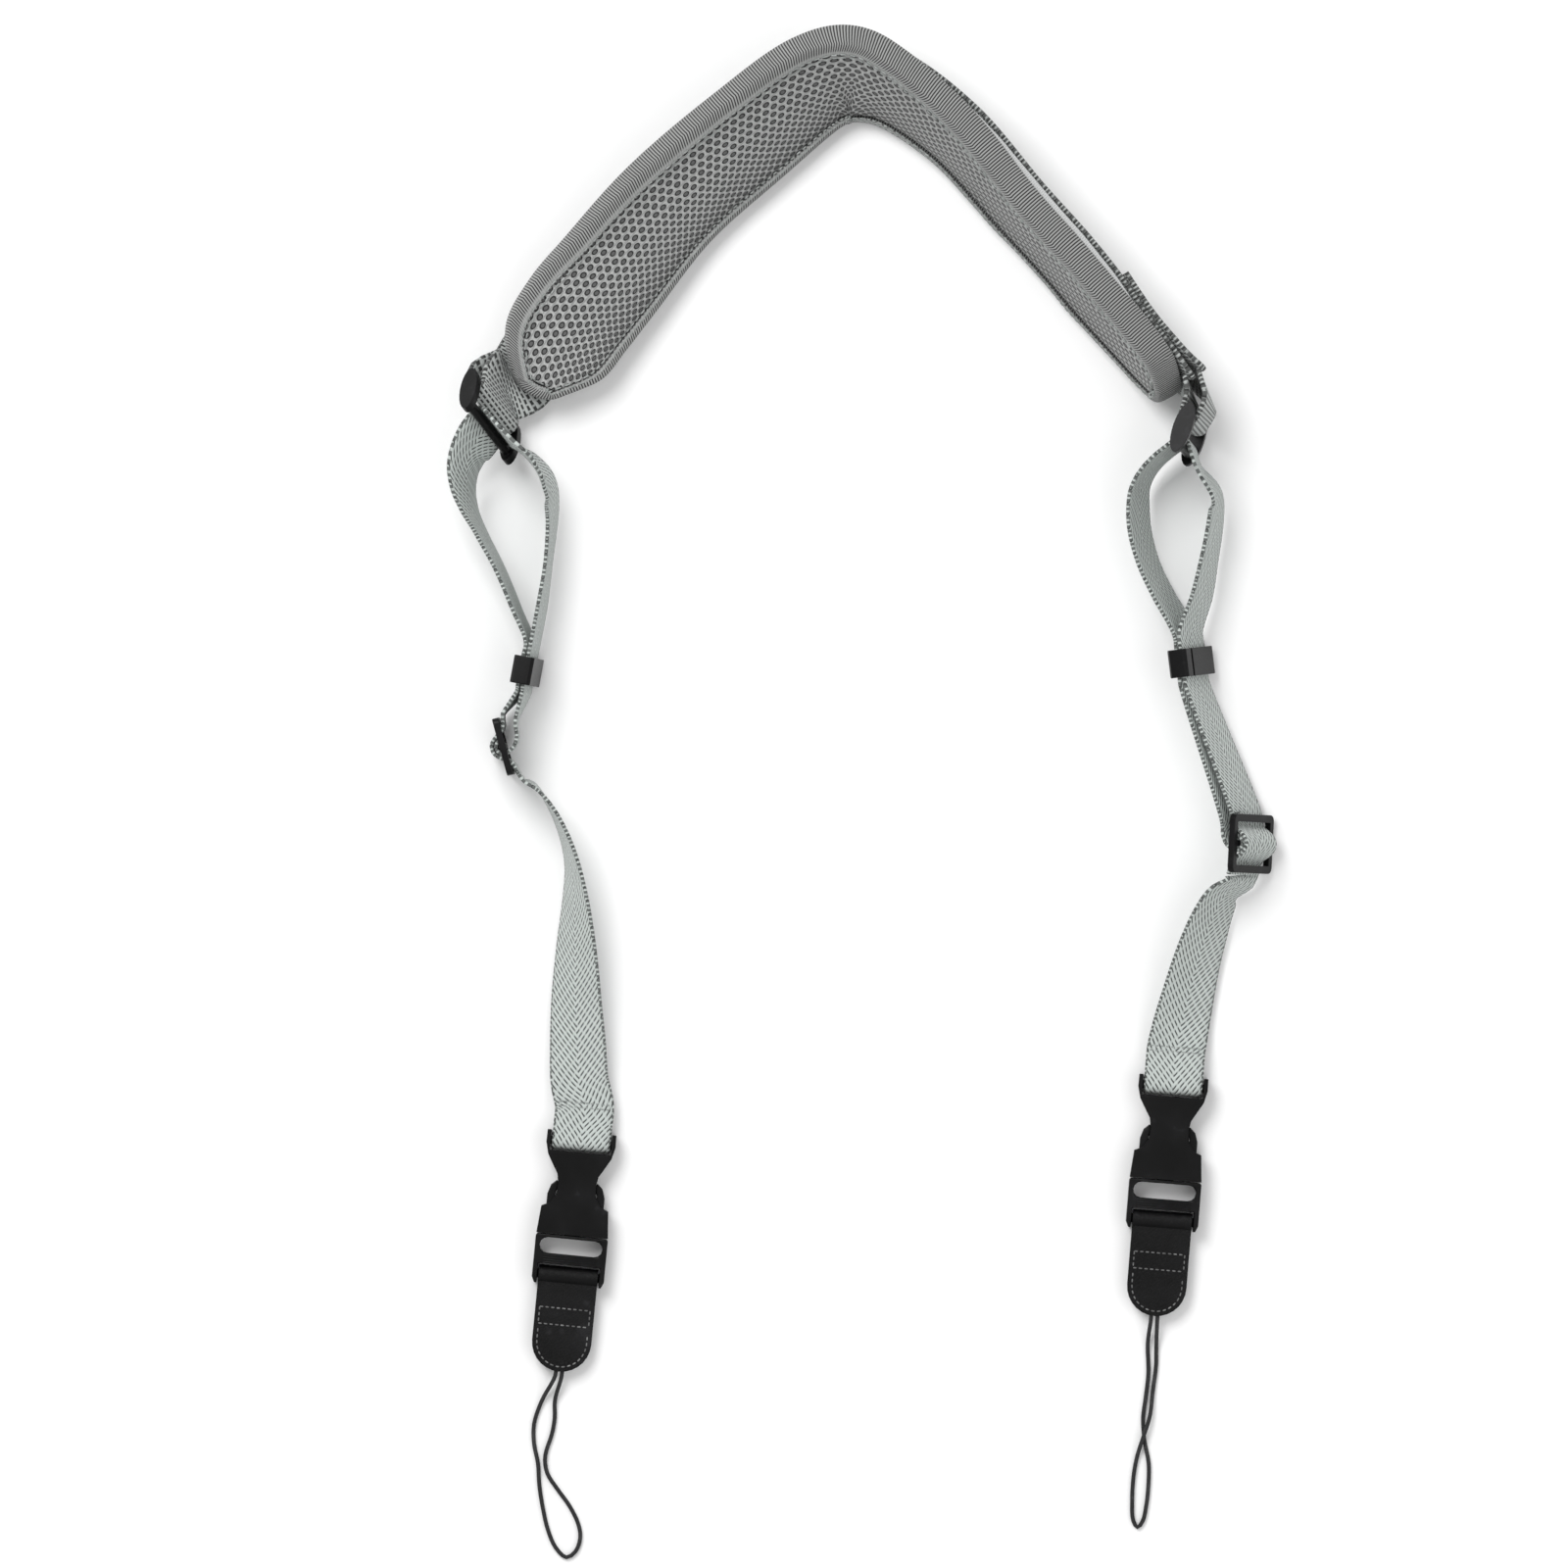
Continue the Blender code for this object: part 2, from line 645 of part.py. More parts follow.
def lower_route(side):
    """From just below the adjuster, round the socket's bar, to the sewn end."""
    axes = side.buckle
    mid = SLIM_THICK / 2 + 0.2
    radius = SOCKET_BAR_RADIUS + GAP + SLIM_THICK / 2
    width = tuple(axes.b * side.outward * -1.0)

    def flat(along, up):
        return (*axes.at(along, 0, up), *width)

    route = [adjuster_station(side, 11.4, -3.0), adjuster_station(side, 13.2, -3.7)]
    route += LOWER_ROUTES[side.name]
    route += [flat(-13.0, mid), flat(-6.5, mid + 0.5)]
    for step in range(7):
        angle = math.radians(105 - 210 * step / 6)
        along = SOCKET_BAR_U + radius * math.cos(angle)
        route.append(flat(along, radius * math.sin(angle)))
    route += [flat(-6.5, -mid - 0.5), flat(-13.0, -mid)]
    return route


def build_narrow_webbing(side):
    """The loop round ring and keeper, and the lower run to the buckle."""
    pivot = side.ring.at(0, RING_BAR_SPACING / 2, 0)
    mesh_edit = bmesh.new()
    ribbon(mesh_edit, smooth(loop_route(side), 3.0), SLIM_WEB, SLIM_THICK)
    add_object(f"loop_webbing_{side.name}", mesh_edit, pivot, WEB_GREY, "slim_webbing")
    mesh_edit = bmesh.new()
    ribbon(mesh_edit, smooth(lower_route(side), 4.0), SLIM_WEB, SLIM_THICK)
    pivot = side.adjuster.origin
    add_object(f"lower_webbing_{side.name}", mesh_edit, pivot, WEB_GREY, "slim_webbing")


def build_keeper(side):
    """A flat sleeve with a slit, so that webbing can be slipped in."""
    half_w, half_d = KEEPER_WIDTH / 2, KEEPER_DEPTH / 2
    in_w, in_d = half_w - KEEPER_WALL, half_d - KEEPER_WALL
    slit_low, slit_high = KEEPER_SLIT
    outline = [(slit_low, half_d), (-half_w + 1, half_d), (-half_w, half_d - 1)]
    outline += [(-half_w, -half_d + 1), (-half_w + 1, -half_d), (half_w - 1, -half_d)]
    outline += [(half_w, -half_d + 1), (half_w, half_d - 1), (half_w - 1, half_d)]
    outline += [(slit_high, half_d), (slit_high, in_d), (in_w, in_d), (in_w, -in_d)]
    outline += [(-in_w, -in_d), (-in_w, in_d), (slit_low, in_d)]
    sleeve = prism(outline, -KEEPER_LENGTH / 2, KEEPER_LENGTH / 2)
    axes = side.keeper
    outer = axes.c * -side.outward
    place = Axes(axes.origin, -axes.b, outer, (-axes.b).cross(outer)).matrix()
    bmesh.ops.transform(sleeve, matrix=place, verts=sleeve.verts)
    add_object(f"keeper_{side.name}", sleeve, axes.origin, BLACK_PLASTIC, "plastic")


def build_adjuster(side):
    """A flat frame with two slots on either side of a middle bar."""
    frame = prism(rounded_box(ADJ_LENGTH / 2, ADJ_WIDTH / 2, 2.0), -ADJ_THICK / 2, ADJ_THICK / 2)
    axes = side.adjuster
    place = axes.matrix()
    bmesh.ops.transform(frame, matrix=place, verts=frame.verts)
    body = add_object(f"adjuster_{side.name}", frame, axes.origin, BLACK_PLASTIC, "plastic")
    slots = bmesh.new()
    end = ADJ_LENGTH / 2 - ADJ_END_BAR
    for low, high in ((-end, -ADJ_BAR / 2), (ADJ_BAR / 2, end)):
        add_box(slots, (low, -ADJ_SLOT_WIDTH / 2, -3), (high, ADJ_SLOT_WIDTH / 2, 3))
    bmesh.ops.transform(slots, matrix=place, verts=slots.verts)
    tool = add_object(f"tool_slots_{side.name}", slots, axes.origin, BLACK_PLASTIC, "plastic")
    boolean(body, tool, "DIFFERENCE")


# ---------------------------------------------------------------- buckles


def place_buckle_piece(mesh_edit, axes):
    """Move a piece drawn in u, v, z to the buckle's place."""
    bmesh.ops.transform(mesh_edit, matrix=axes.matrix(), verts=mesh_edit.verts)
    return mesh_edit


def build_socket(side):
    """The socket: arms and bar for the webbing, waist, windows and mouth."""
    axes = side.buckle
    pivot = axes.at(SOCKET_BAR_U, 0, 0)
    half = [(-4.2, ARM_INNER), (2.7, ARM_INNER)]
    flank = [(31.0, 12.2), (21.8, 11.4), (20.6, 8.6), (17.5, 6.8), (14.0, 6.4)]
    flank += [(10.5, 7.0), (7.8, 8.6), (4.0, 10.8), (0.0, 11.8), (-4.2, 11.7)]
    lower = [(u, -v) for u, v in half]
    outline = half + lower[::-1] + [(u, -v) for u, v in flank[::-1]] + flank
    shell = place_buckle_piece(prism(outline, -BUCKLE_HALF_THICK, BUCKLE_HALF_THICK), axes)
    socket = add_object(f"socket_{side.name}", shell, pivot, BLACK_PLASTIC, "plastic")
    channel = bmesh.new()
    low = (CHANNEL_TOP_U, -CHANNEL_HALF_WIDTH, -CHANNEL_HALF_HEIGHT)
    high = (SOCKET_MOUTH_U + 2, CHANNEL_HALF_WIDTH, CHANNEL_HALF_HEIGHT)
    add_box(channel, low, high)
    place_buckle_piece(channel, axes)
    tool = add_object(f"tool_channel_{side.name}", channel, pivot, BLACK_PLASTIC, "plastic")
    boolean(socket, tool, "DIFFERENCE")
    rod = bmesh.new()
    reach = ARM_INNER + 0.7
    start, end = (SOCKET_BAR_U, -reach, 0), (SOCKET_BAR_U, reach, 0)
    add_cylinder(rod, start, end, SOCKET_BAR_RADIUS)
    place_buckle_piece(rod, axes)
    bar = add_object(f"tool_socket_bar_{side.name}", rod, pivot, BLACK_PLASTIC, "plastic")
    boolean(socket, bar, "UNION")


def build_clip(side):
    """The clip's base: frame, finger slot, grip bar, guide and tab bar."""
    axes = side.buckle
    pivot = axes.at(CLIP_TOP_U, 0, 0)
    width, inner = CLIP_HALF_WIDTH, CLIP_CHEEK_INNER
    outline = [(CLIP_TOP_U, width), (CLIP_TOP_U, 2.2), (16.0, 1.8), (16.0, -1.8)]
    outline += [(CLIP_TOP_U, -2.2), (CLIP_TOP_U, -width), (46.0, -width), (CLIP_END_U, -11.4)]
    outline += [(CLIP_END_U, -inner), (CLIP_GRIP_END, -inner), (CLIP_GRIP_END, inner)]
    outline += [(CLIP_END_U, inner), (CLIP_END_U, 11.4), (46.0, width)]
    frame = prism(outline, -BUCKLE_HALF_THICK, BUCKLE_HALF_THICK)
    place_buckle_piece(frame, axes)
    clip = add_object(f"clip_{side.name}", frame, pivot, BLACK_PLASTIC, "plastic")
    cuts = bmesh.new()
    for sign in (-1, 1):
        low, high = sorted((sign * PRONG_HALF_HEIGHT, sign * 5.0))
        add_box(cuts, (15.0, -3.0, low), (CLIP_TOP_U, 3.0, high))
    place_buckle_piece(cuts, axes)
    tool = add_object(f"tool_guide_{side.name}", cuts, pivot, BLACK_PLASTIC, "plastic")
    boolean(clip, tool, "DIFFERENCE")
    low, high = CLIP_SLOT
    radius = (high - low) / 2
    middle = (low + high) / 2
    reach = CLIP_HALF_WIDTH - 1.6 - radius
    stadium = arc(middle, reach, radius, radius, 0, 180, 6)
    stadium += arc(middle, -reach, radius, radius, 180, 360, 6)
    slot = place_buckle_piece(prism(stadium, -5.0, 5.0), axes)
    tool = add_object(f"tool_slot_{side.name}", slot, pivot, BLACK_PLASTIC, "plastic")
    boolean(clip, tool, "DIFFERENCE")
    rod = bmesh.new()
    reach = inner + 0.8
    add_cylinder(rod, (TAB_BAR_U, -reach, 0), (TAB_BAR_U, reach, 0), TAB_BAR_RADIUS)
    place_buckle_piece(rod, axes)
    bar = add_object(f"tool_tab_bar_{side.name}", rod, pivot, BLACK_PLASTIC, "plastic")
    boolean(clip, bar, "UNION")


def build_prong(side, word, sign):
    """One springy prong with the bulge that shows in the socket's window."""
    axes = side.buckle
    outline = [(31.0, 8.3), (23.0, 8.7), (21.4, 9.8), (17.5, 9.8), (14.4, 8.8)]
    outline += [(12.6, 6.9), (14.2, 6.0), (17.0, 7.0), (22.0, 7.0), (31.0, 6.5)]
    outline = [(u, sign * v) for u, v in outline]
    prong = prism(outline, -PRONG_HALF_HEIGHT, PRONG_HALF_HEIGHT)
    place_buckle_piece(prong, axes)
    pivot = axes.at(PRONG_ROOT_U, sign * 7.4, 0)
    add_object(f"prong_{word}_{side.name}", prong, pivot, BLACK_PLASTIC, "plastic")


def build_tab(side):
    """The folded leather tab with a pocket that holds the cord's knot."""
    axes = side.buckle
    pivot = axes.at(TAB_BAR_U, 0, 0)
    width, half = TAB_HALF_WIDTH, TAB_THICK / 2
    end_middle = TAB_END_U - width
    outline = [(TAB_BAR_U + 2.4, width), (TAB_BAR_U + 2.4, -width)]
    outline += arc(end_middle, 0, width, width, -90, 90, 14)
    leaf = place_buckle_piece(prism(outline, -half, half), axes)
    tab = add_object(f"leather_tab_{side.name}", leaf, pivot, BLACK_LEATHER, "leather")
    fold = bmesh.new()
    reach = width
    add_cylinder(fold, (TAB_BAR_U, -reach, 0), (TAB_BAR_U, reach, 0), 3.0, 24)
    place_buckle_piece(fold, axes)
    loop = add_object(f"tool_fold_{side.name}", fold, pivot, BLACK_LEATHER, "leather")
    boolean(tab, loop, "UNION")
    bore = bmesh.new()
    reach = width + 2
    add_cylinder(bore, (TAB_BAR_U, -reach, 0), (TAB_BAR_U, reach, 0), TAB_BAR_RADIUS + GAP, 16)
    add_box(bore, (POCKET_TOP_U, -2.4, -1.0), (TAB_END_U + 3, 2.4, 1.0))
    place_buckle_piece(bore, axes)
    tool = add_object(f"tool_bore_{side.name}", bore, pivot, BLACK_LEATHER, "leather")
    boolean(tab, tool, "DIFFERENCE")
    knot = bmesh.new()
    add_box(knot, (POCKET_TOP_U + 0.4, -2.0, -0.7), (POCKET_TOP_U + 3.0, 2.0, 0.7))
    bmesh.ops.bevel(knot, geom=knot.edges[:], offset=0.3, segments=1, affect="EDGES")
    place_buckle_piece(knot, axes)
    add_object(f"cord_knot_{side.name}", knot, pivot, BLACK_CORD, "cord")


CORD_ROUTES = {
    "left": (
        (-111.3, -181.8, 1.2),
        (-114.0, -189.8, 0.8),
        (-114.0, -196.5, 0.8),
        (-112.7, -203.2, 0.8),
        (-112.2, -210.8, 0.8),
        (-111.0, -218.5, 0.8),
        (-109.3, -225.8, 0.8),
        (-106.7, -231.8, 0.8),
        (-103.0, -235.2, 0.8),
        (-99.9, -233.2, 0.8),
        (-98.3, -228.5, 0.8),
        (-99.0, -223.8, 0.8),
        (-101.9, -217.8, 0.8),
        (-105.9, -212.2, 0.9),
        (-109.5, -206.6, 1.1),
        (-110.3, -202.0, 1.1),
        (-109.8, -198.8, 0.9),
        (-108.0, -193.5, 0.8),
        (-107.0, -187.8, 0.8),
        (-106.9, -181.8, 1.2),
    ),
    "right": (
        (94.7, -162.5, 1.2),
        (94.9, -172.5, 0.8),
        (94.0, -180.8, 0.8),
        (93.1, -187.8, 0.8),
        (93.6, -195.5, 0.8),
        (95.0, -203.2, 0.8),
        (94.9, -210.8, 0.8),
        (94.3, -216.8, 0.8),
        (93.0, -222.8, 0.8),
        (91.2, -225.0, 0.8),
        (89.7, -222.5, 0.8),
        (89.4, -215.8, 0.8),
        (89.8, -208.2, 0.8),
        (91.0, -201.2, 0.9),
        (92.9, -195.0, 2.3),
        (95.3, -187.5, 2.0),
        (96.4, -178.8, 0.9),
        (97.5, -170.2, 0.8),
        (97.6, -163.5, 1.2),
    ),
}


def build_cord(side):
    """The thin cord loop that leaves the tab and goes back into it."""
    axes = side.buckle
    starts = [axes.at(POCKET_TOP_U + along, -1.1, 0) for along in (3.4, 5.0, 9.5)]
    ends = [axes.at(POCKET_TOP_U + along, 1.1, 0) for along in (9.5, 5.0, 3.4)]
    controls = [tuple(p) for p in starts] + list(CORD_ROUTES[side.name])
    controls += [tuple(p) for p in ends]
    curve = bpy.data.curves.new(f"cord_loop_{side.name}", "CURVE")
    curve.dimensions = "3D"
    curve.bevel_depth = CORD_RADIUS * MM
    curve.bevel_resolution = 2
    curve.use_fill_caps = True
    points = smooth(controls, 3.2)
    spline = curve.splines.new("POLY")
    spline.points.add(len(points) - 1)
    pivot = axes.at(TAB_BAR_U, 0, 0)
    for target, point in zip(spline.points, points):
        target.co = (*((Vector(point) - pivot) * MM), 1.0)
    cord = bpy.data.objects.new(f"cord_loop_{side.name}", curve)
    cord.location = (pivot - PLAN_CENTRE) * MM
    bpy.context.scene.collection.objects.link(cord)
    curve.materials.append(material("cord", BLACK_CORD))


def main():
    """Clear the scene and build the pad and both straps."""
    for old in list(bpy.data.objects):
        bpy.data.objects.remove(old, do_unlink=True)
    build_pad()
    for side in SIDES:
        build_ring(side)
        build_narrow_webbing(side)
        build_keeper(side)
        build_adjuster(side)
        build_socket(side)
        build_clip(side)
        build_prong(side, "near", 1)
        build_prong(side, "far", -1)
        build_tab(side)
        build_cord(side)


main()
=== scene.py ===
"""Padded neck strap with ring links, sliding adjusters and quick-release ends.

The rigid fittings come from the frame and get bevels and finishes here.  The
pad, its lining, cover and edge band, the webbing, the stitching and the cord
loops are built as pieces of their own.  Sizes are in millimetres in the
strap's own drawing, and turned into metres of the frame when a mesh is made.
"""

import logging
import math
from dataclasses import dataclass, field
from enum import Enum
from typing import Callable, Iterable, Sequence

import bpy
import numpy as np
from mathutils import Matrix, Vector


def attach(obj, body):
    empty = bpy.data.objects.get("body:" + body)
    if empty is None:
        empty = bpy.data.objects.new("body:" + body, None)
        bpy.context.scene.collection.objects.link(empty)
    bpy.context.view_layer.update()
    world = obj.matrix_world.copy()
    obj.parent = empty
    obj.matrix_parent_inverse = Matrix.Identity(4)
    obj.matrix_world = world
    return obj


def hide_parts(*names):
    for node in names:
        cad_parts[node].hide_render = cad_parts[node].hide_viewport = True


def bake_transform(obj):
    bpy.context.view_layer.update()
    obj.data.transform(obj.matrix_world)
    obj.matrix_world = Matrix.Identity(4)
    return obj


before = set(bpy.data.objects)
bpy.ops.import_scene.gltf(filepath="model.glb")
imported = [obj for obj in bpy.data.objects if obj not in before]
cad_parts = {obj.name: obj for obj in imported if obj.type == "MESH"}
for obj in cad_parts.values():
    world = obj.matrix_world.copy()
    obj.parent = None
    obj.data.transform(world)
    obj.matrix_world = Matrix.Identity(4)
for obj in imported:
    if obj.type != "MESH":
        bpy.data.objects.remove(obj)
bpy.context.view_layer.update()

LOG = logging.getLogger("neck_strap")

MM = 0.001
# the frame's origin in the drawing
SHIFT = Vector((-2.44, 56.74, -0.06))
# air left between pieces that touch
GAP = 0.3
# radius of a ring's bars, and how far they stand from the ring's middle
RING_BAR = 1.7
RING_REACH = 5.0
# half the pad's thickness
PAD_HALF = 4.5
# height of a lying buckle's middle above the floor
BUCKLE_HEIGHT = 4.2
# end of the leather tab along the buckle, and its half width
TAB_END = 77.5
TAB_HALF = 10.1
UP = Vector((0.0, 0.0, 1.0))

Point = tuple[float, ...]
Pair = tuple[float, float]
Colour = tuple[float, float, float]
Face = tuple[int, ...]
# place, width direction, face direction, and a distance that each user explains
Station = tuple[Vector, Vector, Vector, float]


def to_frame(place: Sequence[float]) -> Vector:
    """A place of the drawing as metres in the frame."""
    return (Vector(place[:3]) - SHIFT) * MM


def turns(start: float, end: float, steps: int) -> list[float]:
    """Angles in radians from one to another, both given in degrees."""
    return [math.radians(start + (end - start) * step / steps) for step in range(steps + 1)]


# ---------------------------------------------------------------- drawing


@dataclass(frozen=True)
class Axes:
    """A right-handed set of axes with an origin, in millimetres."""

    origin: Vector
    a: Vector
    b: Vector
    c: Vector

    @classmethod
    def square(cls, origin: Point, first: Point, second: Point) -> "Axes":
        """Axes from a first direction and a second one made square to it.

        Args:
            origin: Where the axes stand.
            first: Direction of the first axis.
            second: Rough direction of the second axis.

        Returns:
            The three square axes.
        """
        a = Vector(first).normalized()
        b = Vector(second)
        b = (b - b.dot(a) * a).normalized()
        return cls(Vector(origin), a, b, a.cross(b))

    @classmethod
    def buckle(cls, bar: Point, heading: Point) -> "Axes":
        """Axes of a flat buckle from its bar and the way it points.

        Args:
            bar: Plan position of the start of the buckle.
            heading: Plan direction from the strap to the tab.

        Returns:
            Axes along the buckle, across it and upwards.
        """
        down = Vector((heading[0], heading[1], 0.0)).normalized()
        across = Vector((-down.y, down.x, 0.0))
        return cls(Vector((bar[0], bar[1], BUCKLE_HEIGHT)), down, across, UP)

    def at(self, a: float, b: float, c: float) -> Vector:
        """The point at the given distances along the three axes."""
        return self.origin + float(a) * self.a + float(b) * self.b + float(c) * self.c


@dataclass(frozen=True)
class StrapPlan:
    """Where the fittings and the runs of one strap lie."""

    name: str
    ring: Axes
    adjuster: Axes
    keeper: Axes
    buckle: Axes
    outward: float
    sewn_leg: tuple[Point, ...]
    main_leg: tuple[Point, ...]
    lower_run: tuple[Point, ...]
    cord_run: tuple[Point, ...]


LEFT = StrapPlan(
    name="left",
    ring=Axes.square((-128.7, 152.5, 18.2), (0.467, -0.605, -0.643), (-0.113, -0.763, 0.637)),
    adjuster=Axes.square((-124.2, 40.5, 13.2), (0.264, -0.965, 0.0), (0.05, -0.12, -0.985)),
    keeper=Axes.square((-116.3, 66.2, 12.4), (-0.18, -0.98, 0.0), (0.14, 0.0, -0.99)),
    buckle=Axes.buckle((-98.0, -94.8), (-0.0974, -0.9952)),
    outward=1.0,
    sewn_leg=(
        (-107.7, 121.5, 12.4, 0.18, 0.0, -0.98),
        (-109.0, 103.8, 11.8, 0.1, 0.0, -0.99),
        (-111.3, 87.8, 12.0, 0.14, 0.0, -0.99),
        (-114.3, 74.5, 12.3, 0.14, 0.0, -0.99),
    ),
    main_leg=(
        (-132.0, 113.2, 12.1, 0.18, 0.0, -0.98),
        (-125.6, 100.8, 11.8, 0.15, 0.0, -0.99),
        (-119.9, 87.2, 12.0, 0.14, 0.0, -0.99),
        (-117.1, 76.8, 12.3, 0.14, 0.0, -0.99),
    ),
    lower_run=(
        (-113.3, 26.8, 12.6, -0.05, 0.1, -0.98),
        (-107.7, 19.2, 11.6, -0.08, 0.0, -0.99),
        (-103.3, 9.5, 10.9, -0.15, 0.0, -0.98),
        (-100.7, -0.5, 10.6, -0.24, 0.0, -0.95),
        (-99.7, -11.5, 9.8, -0.40, 0.0, -0.87),
        (-99.5, -29.5, 8.2, -0.66, 0.0, -0.70),
        (-99.5, -46.5, 6.6, -0.84, 0.0, -0.50),
        (-99.0, -61.2, 5.4, -0.94, 0.0, -0.30),
        (-98.5, -73.0, 5.0, -0.99, 0.05, -0.14),
    ),
    cord_run=(
        (-111.3, -181.8, 1.2),
        (-114.0, -189.8, 0.8),
        (-114.0, -196.5, 0.8),
        (-112.7, -203.2, 0.8),
        (-112.2, -210.8, 0.8),
        (-111.0, -218.5, 0.8),
        (-109.3, -225.8, 0.8),
        (-106.7, -231.8, 0.8),
        (-103.0, -235.2, 0.8),
        (-99.9, -233.2, 0.8),
        (-98.3, -228.5, 0.8),
        (-99.0, -223.8, 0.8),
        (-101.9, -217.8, 0.8),
        (-105.9, -212.2, 0.9),
        (-109.5, -206.6, 1.1),
        (-110.3, -202.0, 1.1),
        (-109.8, -198.8, 0.9),
        (-108.0, -193.5, 0.8),
        (-107.0, -187.8, 0.8),
        (-106.9, -181.8, 1.2),
    ),
)

RIGHT = StrapPlan(
    name="right",
    ring=Axes.square((108.3, 146.5, 17.4), (0.15, -0.146, -0.978), (-0.33, -0.94, 0.09)),
    adjuster=Axes.square((129.5, 7.5, 12.6), (-0.05, -0.998, 0.0), (0.53, 0.0, -0.85)),
    keeper=Axes.square((109.3, 69.2, 12.6), (0.12, -0.99, 0.0), (0.42, 0.0, -0.9)),
    buckle=Axes.buckle((103.2, -75.8), (-0.0813, -0.9967)),
    outward=-1.0,
    sewn_leg=(
        (91.2, 123.5, 12.6, 0.36, 0.0, -0.93),
        (91.7, 114.2, 12.0, 0.38, 0.0, -0.92),
        (94.7, 102.8, 12.0, 0.38, 0.0, -0.92),
        (99.7, 92.2, 12.2, 0.40, 0.0, -0.92),
        (105.5, 78.8, 12.4, 0.42, 0.0, -0.9),
    ),
    main_leg=(
        (117.8, 121.5, 12.6, 0.24, 0.0, -0.97),
        (117.0, 113.5, 12.2, 0.27, 0.0, -0.96),
        (115.3, 103.8, 12.0, 0.3, 0.0, -0.95),
        (113.0, 92.2, 12.2, 0.36, 0.0, -0.93),
        (110.7, 79.5, 12.4, 0.42, 0.0, -0.9),
    ),
    lower_run=(
        (120.4, -9.6, 10.4, 0.60, 0.0, -0.78),
        (116.6, -16.6, 9.6, 0.68, 0.0, -0.70),
        (113.7, -24.5, 8.7, 0.76, 0.0, -0.62),
        (111.0, -33.2, 7.8, 0.82, 0.0, -0.54),
        (108.4, -43.5, 6.6, 0.89, 0.0, -0.42),
        (106.2, -53.0, 5.4, 0.96, 0.0, -0.26),
        (105.0, -59.0, 5.0, 0.99, 0.05, -0.12),
    ),
    cord_run=(
        (94.7, -162.5, 1.2),
        (94.9, -172.5, 0.8),
        (94.0, -180.8, 0.8),
        (93.1, -187.8, 0.8),
        (93.6, -195.5, 0.8),
        (95.0, -203.2, 0.8),
        (94.9, -210.8, 0.8),
        (94.3, -216.8, 0.8),
        (93.0, -222.8, 0.8),
        (91.2, -225.0, 0.8),
        (89.7, -222.5, 0.8),
        (89.4, -215.8, 0.8),
        (89.8, -208.2, 0.8),
        (91.0, -201.2, 0.9),
        (92.9, -195.0, 2.3),
        (95.3, -187.5, 2.0),
        (96.4, -178.8, 0.9),
        (97.5, -170.2, 0.8),
        (97.6, -163.5, 1.2),
    ),
)

# the pad's centre line: x, y, tilt of the width in degrees, lift of the lower edge, half width
PAD_ROUTE: tuple[Point, ...] = (
    (-113.7, 162.5, 8, 6.5, 8.0),
    (-107.7, 173.8, 10, 5.0, 18.0),
    (-99.0, 187.2, 15, 3.2, 20.0),
    (-89.0, 199.5, 22, 2.2, 20.0),
    (-68.3, 224.2, 34, 0.8, 20.0),
    (-41.3, 247.8, 38, 0.2, 20.0),
    (-18.0, 265.8, 45, 0.2, 20.0),
    (-7.0, 269.8, 53, 0.2, 20.0),
    (5.0, 265.2, 61, 0.2, 20.0),
    (27.2, 248.4, 70, 0.2, 20.0),
    (50.0, 222.1, 75, 0.2, 20.0),
    (64.8, 205.9, 76, 0.2, 20.0),
    (76.2, 192.5, 76, 0.2, 20.0),
    (87.2, 180.0, 76, 0.9, 18.5),
    (96.3, 168.8, 76, 2.8, 15.0),
    (100.7, 161.4, 76, 7.3, 7.0),
)

# how far the wide webbing stands off the pad's back, by entry of the centre line
BULGE: dict[int, float] = {7: 0.5, 8: 2.0, 9: 3.5, 10: 4.0, 11: 4.0, 12: 3.5, 13: 1.5}


def smooth(controls: Sequence[Point], step: float, space: int = 3) -> list[Point]:
    """Points of a centripetal curve through tuples, about a step apart.

    Args:
        controls: The tuples to pass through.
        step: Wanted distance between points.
        space: How many of the first numbers of a tuple are its place.

    Returns:
        The points, with as many numbers each as the controls have.
    """
    places = [Vector([*item[:space], 0.0][:3]) for item in controls]
    spans = [(b - a).length for a, b in zip(places, places[1:])]
    knots = [math.sqrt(span) for span in spans]
    knots = [knots[0], *knots, knots[-1]]
    padded = [controls[0], *controls, controls[-1]]
    points: list[Point] = []
    for index, span in enumerate(spans):
        p0, p1, p2, p3 = padded[index : index + 4]
        k0, k1, k2 = knots[index : index + 3]
        count = max(1, round(span / step))
        for part in range(count):
            t = part / count
            point = []
            for a, b, c, d in zip(p0, p1, p2, p3):
                slope_in = k1 * ((b - a) / k0 - (c - a) / (k0 + k1) + (c - b) / k1)
                slope_out = k1 * ((c - b) / k1 - (d - b) / (k1 + k2) + (d - c) / k2)
                bend = 2 * b - 2 * c + slope_in + slope_out
                rise = 3 * c - 3 * b - 2 * slope_in - slope_out
                point.append(b + slope_in * t + rise * t * t + bend * t**3)
            points.append(tuple(point))
    points.append(tuple(controls[-1]))
    return points


# ---------------------------------------------------------------- shader groups


